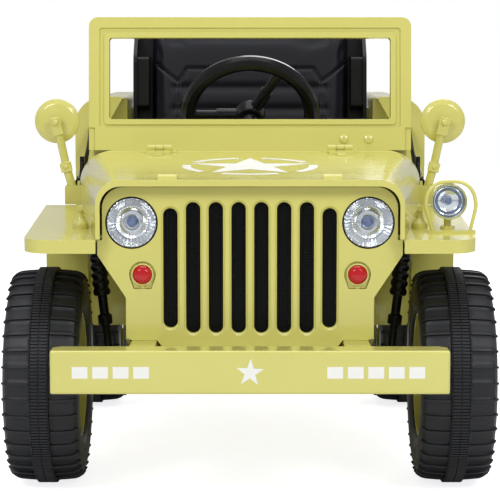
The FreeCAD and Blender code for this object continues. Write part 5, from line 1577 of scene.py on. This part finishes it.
@dataclass
class StrapHardware:
    """Slider, ring, snap hook and eye at the front end of each door strap."""

    paints: Paintbox
    half_strap: float = 1.2 * MM
    slider: tuple[float, float, float] = (7.0 * MM, 9.0 * MM, 30.0 * MM)
    slider_step: tuple[float, float, float] = (0.0, 16.0 * MM, 17.0 * MM)
    slider_frame: float = 2.4 * MM
    ring: tuple[float, float] = (6.0 * MM, 1.2 * MM)
    ring_step: tuple[float, float, float] = (3.2 * MM, -1.0 * MM, 6.0 * MM)
    hook: tuple[float, float] = (5.2 * MM, 1.9 * MM)
    hook_step: tuple[float, float, float] = (0.8 * MM, 0.0, -13.0 * MM)
    hook_turn: float = 0.5
    shank_radius: float = 3.0 * MM
    eye_radius: float = 1.6 * MM

    def build(self) -> None:
        """Models the left set and mirrors it."""
        low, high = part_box("door_straps")
        strap_end = Vector((high.x - self.half_strap, low.y, low.z))
        ring_place = strap_end + Vector(self.ring_step)
        hook_place = ring_place + Vector(self.hook_step)
        slider = self._slider(strap_end + Vector(self.slider_step))
        ring = Piece.torus("strap_ring", ring_place, self.ring, (0.0, math.pi / 2, 0.0)).smooth(60.0)
        hook = self._hook(hook_place)
        eye = Piece.rod("hook_eye", hook_place + Vector((-9 * MM, 0, -4 * MM)),
                        hook_place + Vector((2 * MM, 0, -4 * MM)), self.eye_radius).smooth()
        for piece, slot, material in ((slider, Slot.BLACK, self.paints.black),
                                      (ring, Slot.STEEL, self.paints.zinc),
                                      (hook, Slot.BLACK, self.paints.black),
                                      (eye, Slot.OLIVE, self.paints.olive)):
            piece.mount_pair(piece.thing.name, "chassis", slot, material)

    def _slider(self, place: Vector) -> Piece:
        """The ladder slider that the strap's end runs through.

        Args:
            place: Its middle.

        Returns:
            The slider, its corners eased.
        """
        half = Vector(self.slider) / 2.0
        slider = Piece.box("strap_slider", place - half, place + half)
        slider.edit().pick("FACE", lambda f: abs(f.normal.x) > 0.9).inset(self.slider_frame)
        slider.pick("EDGE", lambda e: e.calc_face_angle(0.0) > 1.0).bevel(0.9 * MM, 2)
        return slider.done().smooth()

    def _hook(self, place: Vector) -> Piece:
        """The snap hook: a round hook on a short shank.

        Args:
            place: The middle of the round part.

        Returns:
            The hook.
        """
        hook = Piece.torus("strap_hook", place, self.hook, (math.pi / 2, 0.0, self.hook_turn)).smooth(60.0)
        shank = Piece.rod("shank", place + Vector((0, 0, 5 * MM)), place + Vector((0, 0, 10 * MM)),
                          self.shank_radius)
        shank.edit().pick("EDGE", lambda e: e.calc_face_angle(0.0) > 1.0).bevel(0.8 * MM, 2).done()
        return hook.join([shank]).smooth()


@dataclass
class WheelNuts:
    """Five domed nuts on each wheel's disc.

    Attributes:
        circle: Radius of the circle that the nuts stand on.
        across: Radius of a nut.
        face_depth: How deep the disc's face lies behind the tyre's side.
    """

    paints: Paintbox
    nodes: tuple[str, ...] = ("rim_front_left", "rim_front_right", "rim_rear_left", "rim_rear_right",
                              "spare_rim")
    count: int = 5
    circle: float = 36.0 * MM
    across: float = 5.6 * MM
    height: float = 4.0 * MM
    face_depth: float = 31.0 * MM

    def build(self) -> None:
        """Models a set for each wheel, facing +X, and turns it to its place."""
        for node in self.nodes:
            tyre = node.replace("rim", "tyre")
            low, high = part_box(tyre)
            nuts = self._nut(min(high - low) / 2.0 - self.face_depth)
            nuts.ring(self.count, ORIGIN, ACROSS).smooth().renamed(node + "_nuts")
            nuts.thing.data.transform(wheel_place(tyre))
            nuts.mount(frame["nodes"][node]["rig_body"], Slot.STEEL, self.paints.zinc)

    def _nut(self, start: float) -> Piece:
        """One nut with its dome.

        Args:
            start: The disc's face, measured from the tyre's middle.

        Returns:
            The nut on the wheel's upper side.
        """
        nut = Piece.rod("nut", Vector((start - 1 * MM, 0, self.circle)),
                        Vector((start + self.height * 0.6, 0, self.circle)), self.across, 6)
        dome = Piece.rod("dome", Vector((start, 0, self.circle)),
                         Vector((start + self.height, 0, self.circle)), self.across * 0.66, 16)
        dome.edit().pick("EDGE", lambda e: all(v.co.x > start + self.height - 0.1 * MM for v in e.verts))
        dome.bevel(1.6 * MM, 3).done()
        nut.edit().pick("EDGE", lambda e: all(v.co.x > start + self.height * 0.5 for v in e.verts))
        nut.bevel(0.6 * MM, 1).done()
        return nut.join([dome])


@dataclass
class HingeWings:
    """Side wings and middle tongue that widen each hood hinge, with a domed screw in every wing."""

    paints: Paintbox
    hinge_x: float = 134.0 * MM
    wing: float = 9.5 * MM
    length: float = 13.0 * MM
    tongue_half: float = 7.0 * MM
    tongue: float = 24.0 * MM
    proud: float = 2.0 * MM
    inset: float = 8.0 * MM
    screw: float = 2.5 * MM
    screw_proud: float = 1.4 * MM
    drop_height: float = 0.7

    def build(self) -> None:
        """Models the left hinge's plates and mirrors them."""
        low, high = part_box("hood_hinges")
        half = high.x - self.hinge_x
        y = high.y - self.inset - self.length / 2.0
        parts = []
        for side in (-1, 1):
            x = self.hinge_x + side * (half + self.wing / 2.0)
            wing = self._plate(x, y, self.wing, self.length)
            parts += [wing, self._screw(x, y, max(vert.co.z for vert in wing.thing.data.vertices))]
        parts.append(self._plate(self.hinge_x, low.y - self.tongue / 2.0 + 1.0 * MM, 2 * self.tongue_half,
                                 self.tongue))
        wings = parts[0].join(parts[1:]).smooth()
        wings.mount_pair("hinge_wings", "hood", Slot.OLIVE, self.paints.olive)

    def _screw(self, x: float, y: float, top: float) -> Piece:
        """A domed screw that stands in a wing.

        Args:
            x: Its place across.
            y: Its place along.
            top: Height of the wing's face.

        Returns:
            The screw.
        """
        crown = top + self.screw_proud
        cap = Piece.rod("cap", Vector((x, y, top - 2.0 * MM)), Vector((x, y, crown)), self.screw, 20)
        cap.edit().pick("EDGE", lambda e: all(v.co.z > crown - 0.1 * MM for v in e.verts))
        return cap.bevel(1.2 * MM, 3).done()

    def _plate(self, x: float, y: float, width: float, length: float) -> Piece:
        """A thin plate laid on the hood.

        Args:
            x: Its middle across.
            y: Its middle along.
            width: Size across.
            length: Size along.

        Returns:
            The plate, a little proud of the hood.
        """
        Piece.lay_down()
        bpy.ops.mesh.primitive_grid_add(x_subdivisions=4, y_subdivisions=4, size=1.0,
                                        location=(x, y, self.drop_height))
        bpy.context.object.scale = (width, length, 1.0)
        plate = Piece.added("plate").lay_on("hood_finished", self.proud)
        plate.modify("SOLIDIFY", thickness=self.proud + 0.5 * MM, offset=-1.0)
        return plate.ease(0.4 * MM)


@dataclass
class MirrorTrim:
    """Flat tab, elbow block and screws of both mirror arms, and the glass on the rear of each head.

    Attributes:
        tab_top: Upper end of the tab in millimetres: across and up from the head's middle, and the
            distance behind the front axle between them.
        tab_foot: Its lower end, given the same way.
        elbow: Middle of the elbow block: across from the head's middle, behind the front axle, and
            height above the floor.
        elbow_lean: From that middle to the block's upper end.
    """

    paints: Paintbox
    glass_edge: float = 4.5 * MM
    glass_proud: float = 0.25 * MM
    bead_edge: float = 4.0 * MM
    bead_radius: float = 0.9 * MM
    tab_top: tuple[float, float, float] = (2.2, 197.0, 6.0)
    tab_foot: tuple[float, float, float] = (-3.6, 201.0, -20.0)
    tab_size: tuple[float, float] = (8.0 * MM, 3.0 * MM)
    tab_screw: float = 4.8 * MM
    elbow: tuple[float, float, float] = (-13.0, 213.0, 427.0)
    elbow_lean: Vector = field(default_factory=lambda: Vector((1.6 * MM, -0.4 * MM, 7.5 * MM)))
    elbow_size: tuple[float, float] = (8.4 * MM, 3.4 * MM)
    elbow_screw: float = 3.6 * MM

    def build(self) -> None:
        """Models the left set and mirrors it."""
        low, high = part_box("mirror_heads")
        radius = (high.z - low.z) / 2.0
        centre = Vector((high.x - radius, high.y, (low.z + high.z) / 2.0))
        glass = Piece.disc("mirror_glass", centre + BACKWARDS * self.glass_proud, radius - self.glass_edge,
                           BACKWARDS, 56)
        bead = Piece.torus("mirror_bead", centre, (radius - self.bead_edge, self.bead_radius),
                           (math.pi / 2, 0, 0), (56, 8)).smooth(60.0)
        trim = self._trim(centre)
        for piece, slot, material in ((glass, Slot.REFLECTOR, self.paints.chrome),
                                      (bead, Slot.OLIVE, self.paints.olive),
                                      (trim, Slot.OLIVE, self.paints.olive)):
            piece.mount_pair(piece.thing.name, "chassis", slot, material)

    def _trim(self, centre: Vector) -> Piece:
        """The tab and the elbow block, each with its screw.

        Args:
            centre: The middle of the mirror's head.

        Returns:
            All of them as one piece.
        """
        x, z = centre.x / MM, centre.z / MM
        top = at(x + self.tab_top[0], self.tab_top[1], z + self.tab_top[2])
        foot = at(x + self.tab_foot[0], self.tab_foot[1], z + self.tab_foot[2])
        elbow = at(x + self.elbow[0], self.elbow[1], self.elbow[2])
        tab = self._bar("mirror_tab", foot, top, *self.tab_size)
        block = self._bar("elbow_block", elbow - self.elbow_lean, elbow + self.elbow_lean, *self.elbow_size)
        parts = [self._screw(top + Vector((-1.6 * MM, -2.4 * MM, -7.5 * MM)), self.tab_screw),
                 block, self._screw(elbow + Vector((0, -3.0 * MM, 0)), self.elbow_screw)]
        return tab.join(parts).renamed("mirror_trim")

    @staticmethod
    def _bar(name: str, foot: Vector, top: Vector, half: float, thick: float) -> Piece:
        """Makes a flat bar between two points, its face to the front and its upper corners rounded.

        Args:
            name: The piece's name.
            foot: The middle of its lower end.
            top: The middle of its upper end.
            half: Half its width.
            thick: Half its thickness.

        Returns:
            The bar.
        """
        length = (top - foot).length
        bar = Piece.box(name, Vector((-half, -thick, 0)), Vector((half, thick, length)))
        bar.edit().pick("EDGE", lambda e: abs(e.verts[0].co.y - e.verts[1].co.y) > thick
                        and all(v.co.z > length - 1e-5 for v in e.verts)).bevel(half * 0.5, 4)
        bar.pick("EDGE", lambda e: e.calc_face_angle(0.0) > 1.0).bevel(0.7 * MM, 2).done()
        turn = UP.rotation_difference(top - foot).to_matrix().to_4x4()
        bar.thing.data.transform(Matrix.Translation(foot) @ turn)
        return bar.smooth()

    @staticmethod
    def _screw(place: Vector, radius: float) -> Piece:
        """Makes a domed screw cap that faces forward.

        Args:
            place: The middle of its seat.
            radius: Its radius.

        Returns:
            The cap.
        """
        reach = radius * 0.62
        front = place.y - reach
        cap = Piece.rod("cap", place + Vector((0, 2.0 * MM, 0)), place - Vector((0, reach, 0)), radius, 24)
        cap.edit().pick("EDGE", lambda e: all(v.co.y < front + 0.05 * MM for v in e.verts))
        return cap.bevel(radius * 0.55, 4).done().smooth(50.0)


@dataclass
class FinishedSolids:
    """CAD solids whose shape is right: each gets a copy with eased edges, smooth shading and its finish.

    Attributes:
        edge: Width of an eased edge.
        edge_of: The nodes whose edges are eased more or less than that.
        turned: Nodes with round forms, which are shaded smooth over wider angles.
        wheel_hub: Distance behind the front axle and height of the steering wheel's hub, in millimetres.
        column_rake: Slope of its column, in degrees.
        spoke_turn: Turn of its spokes, in degrees.
    """

    paints: Paintbox
    edge: float = 0.9 * MM
    edge_of: dict[str, float] = field(default_factory=lambda: {
        "front_bumper": 2.0 * MM, "hood": 1.2 * MM, "windscreen_frame": 1.3 * MM, "fender_left": 1.6 * MM,
        "fender_right": 1.6 * MM, "body_side_left": 1.4 * MM, "body_side_right": 1.4 * MM,
        "steering_wheel": 0.6 * MM, "hood_hinges": 0.4 * MM, "cowl_hinges": 0.4 * MM,
        "grille_panel": 1.2 * MM, "seat_shell": 3.0 * MM, "fog_lamp_guard": 0.4 * MM})
    turned: tuple[str, ...] = ("mirror_heads", "steering_wheel", "fog_lamp_bowl", "fog_lamp_guard",
                               "rim_front_left", "rim_front_right", "rim_rear_left", "rim_rear_right",
                               "spare_rim", "struts", "marker_lamps")
    wheel_hub: tuple[float, float] = (340.0, 500.0)
    column_rake: float = 33.0
    spoke_turn: float = -30.0

    def build(self, skip: Sequence[str]) -> None:
        """Dresses every node that no other assembly stands for.

        Args:
            skip: Nodes that other assemblies replace.
        """
        slots = {row["node"]: Slot(row["material_slot"]) for row in frame["record"]["subparts"]}
        for node in sorted(frame["nodes"]):
            if node in skip:
                continue
            body = frame["nodes"][node]["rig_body"]
            piece = Piece.copy_of(node + "_finished", node).done()
            if node == "steering_wheel":
                piece.thing.data.transform(self._wheel_turn())
            piece.ease(self.edge_of.get(node, self.edge), 2, 32.0)
            angle = 56.0 if node in self.turned else 38.0
            piece.smooth(angle).mount(body, slots[node], self.paints.of_slot(slots[node]), node)

    def _wheel_turn(self) -> Matrix:
        """Turns the steering wheel about its own column, so that one spoke stands level as in the photo."""
        hub = at(0.0, *self.wheel_hub)
        rake = math.radians(self.column_rake)
        column = Vector((0.0, math.cos(rake), math.sin(rake)))
        turn = Matrix.Rotation(math.radians(self.spoke_turn), 4, column)
        return Matrix.Translation(hub) @ turn @ Matrix.Translation(-hub)


@dataclass
class Studio:
    """Plain pale floor, soft light and the camera at the photo's viewpoint.

    Attributes:
        camera_distance: From the camera to the front axle, level.
        camera_height: Height above the floor.
        camera_drop: Degrees that it looks down.
        lens: Focal length in millimetres.
        sensor: Sensor width in millimetres.
        surround: Strength of the world as light.
        mirrored: Part of the way from there to white that reflections see.
        floor_glow: What the camera sees of the floor besides its lit colour.
        lamps: Name, place, side and power of each softbox.
    """

    camera_distance: float = 2.585
    camera_height: float = 0.596
    camera_drop: float = 6.0
    lens: float = 134.9
    sensor: float = 36.0
    floor_size: float = 14.0
    surround: float = 0.32
    mirrored: float = 0.3
    floor_glow: tuple[float, ...] = (0.81, 0.81, 0.83, 1.0)
    lamps: tuple[tuple, ...] = (("key_softbox", (-1.5, -2.7, 2.2), 1.1, 36.0),
                                ("fill_softbox", (1.6, -2.6, 2.1), 1.1, 32.0),
                                ("top_softbox", (0.0, -0.2, 3.0), 2.2, 36.0),
                                ("rear_softbox", (0.6, 2.8, 2.0), 1.6, 26.0))

    def build(self) -> None:
        """Sets up the camera, world, floor and lamps."""
        self._camera()
        self._world()
        self._floor()
        for name, place, size, power in self.lamps:
            self._softbox(name, Vector(place), size, power)
        view = bpy.context.scene.view_settings
        view.view_transform = "Standard"
        view.look = "None"

    def _camera(self) -> None:
        """Adds the camera, level across and tilted a little down."""
        Piece.lay_down()
        bpy.ops.object.camera_add(location=(0.0, FRONT_AXLE_Y - self.camera_distance, self.camera_height),
                                  rotation=(math.radians(90.0 - self.camera_drop), 0.0, 0.0))
        camera = bpy.context.object
        camera.data.lens = self.lens
        camera.data.sensor_width = self.sensor
        bpy.context.scene.camera = camera

    def _world(self) -> None:
        """White to the camera and through glass, grey in reflections, and a lower plain level as light."""
        world = bpy.data.worlds.new("studio")
        world.use_nodes = True
        bpy.context.scene.world = world
        graph = Graph("studio", world.node_tree)
        camera, glass, gloss = (graph.add("ShaderNodeLightPath", output=f"Is {kind} Ray")
                                for kind in ("Camera", "Transmission", "Glossy"))
        seen = graph.add("ShaderNodeMath", {"operation": "MAXIMUM"}, {0: camera, 1: glass})
        share = seen + self.mirrored * gloss
        level = graph.add("ShaderNodeMix", None, {"Factor": share, "A": self.surround, "B": 1.0}, "Result")
        background = graph.tree.nodes["Background"]
        background.inputs["Color"].default_value = (1.0, 1.0, 1.0, 1.0)
        graph.tree.links.new(level.socket, background.inputs["Strength"])

    def _floor(self) -> None:
        """A white floor that keeps the car's shadow."""
        floor = Piece.disc("studio_floor", ORIGIN, self.floor_size / 2, UP, 64)
        graph = Graph("floor_white")
        tone = graph.noise(0.8, 1.0)
        seen = graph.add("ShaderNodeLightPath", output="Is Camera Ray")
        floor.thing.data.materials.append(graph.close({
            "Base Color": graph.blend(tone, (0.93, 0.93, 0.93, 1.0), (0.95, 0.95, 0.95, 1.0)),
            "Roughness": 0.7,
            "Specular IOR Level": 0.1,
            "Emission Color": graph.blend(seen, (0.0, 0.0, 0.0, 1.0), self.floor_glow),
            "Emission Strength": 1.0,
        }))

    def _softbox(self, name: str, place: Vector, size: float, power: float) -> None:
        """Adds one square lamp that looks at the car's middle.

        Args:
            name: Its name.
            place: Where it hangs.
            size: Its side.
            power: Its power in watts.
        """
        Piece.lay_down()
        aim = Vector((0.0, 0.0, 0.3)) - place
        bpy.ops.object.light_add(type="AREA", location=place,
                                 rotation=aim.to_track_quat("-Z", "Y").to_euler())
        lamp = bpy.context.object
        lamp.name = name
        lamp.data.energy = power
        lamp.data.size = size


def main() -> None:
    """Builds the car's looks assembly by assembly."""
    logging.basicConfig(level=logging.INFO, format="%(message)s")
    paints = Paintbox()
    tyres = Tyres(paints)
    FinishedSolids(paints).build((*tyres.nodes, "headlamp_bowls", "headlamp_lenses", "fog_lamp_lens",
                                  "grille_mesh", "seat_back_pad", "seat_base_pad"))
    for assembly in (tyres, Headlamps(paints), FogLamp(paints), GrilleMesh(paints), Stencils(paints),
                     SeatPads(paints), ShellRibs(paints), StrapHardware(paints), WheelNuts(paints),
                     HingeWings(paints), MirrorTrim(paints)):
        assembly.build()
    Studio().build()


if __name__ == "__main__":
    main()
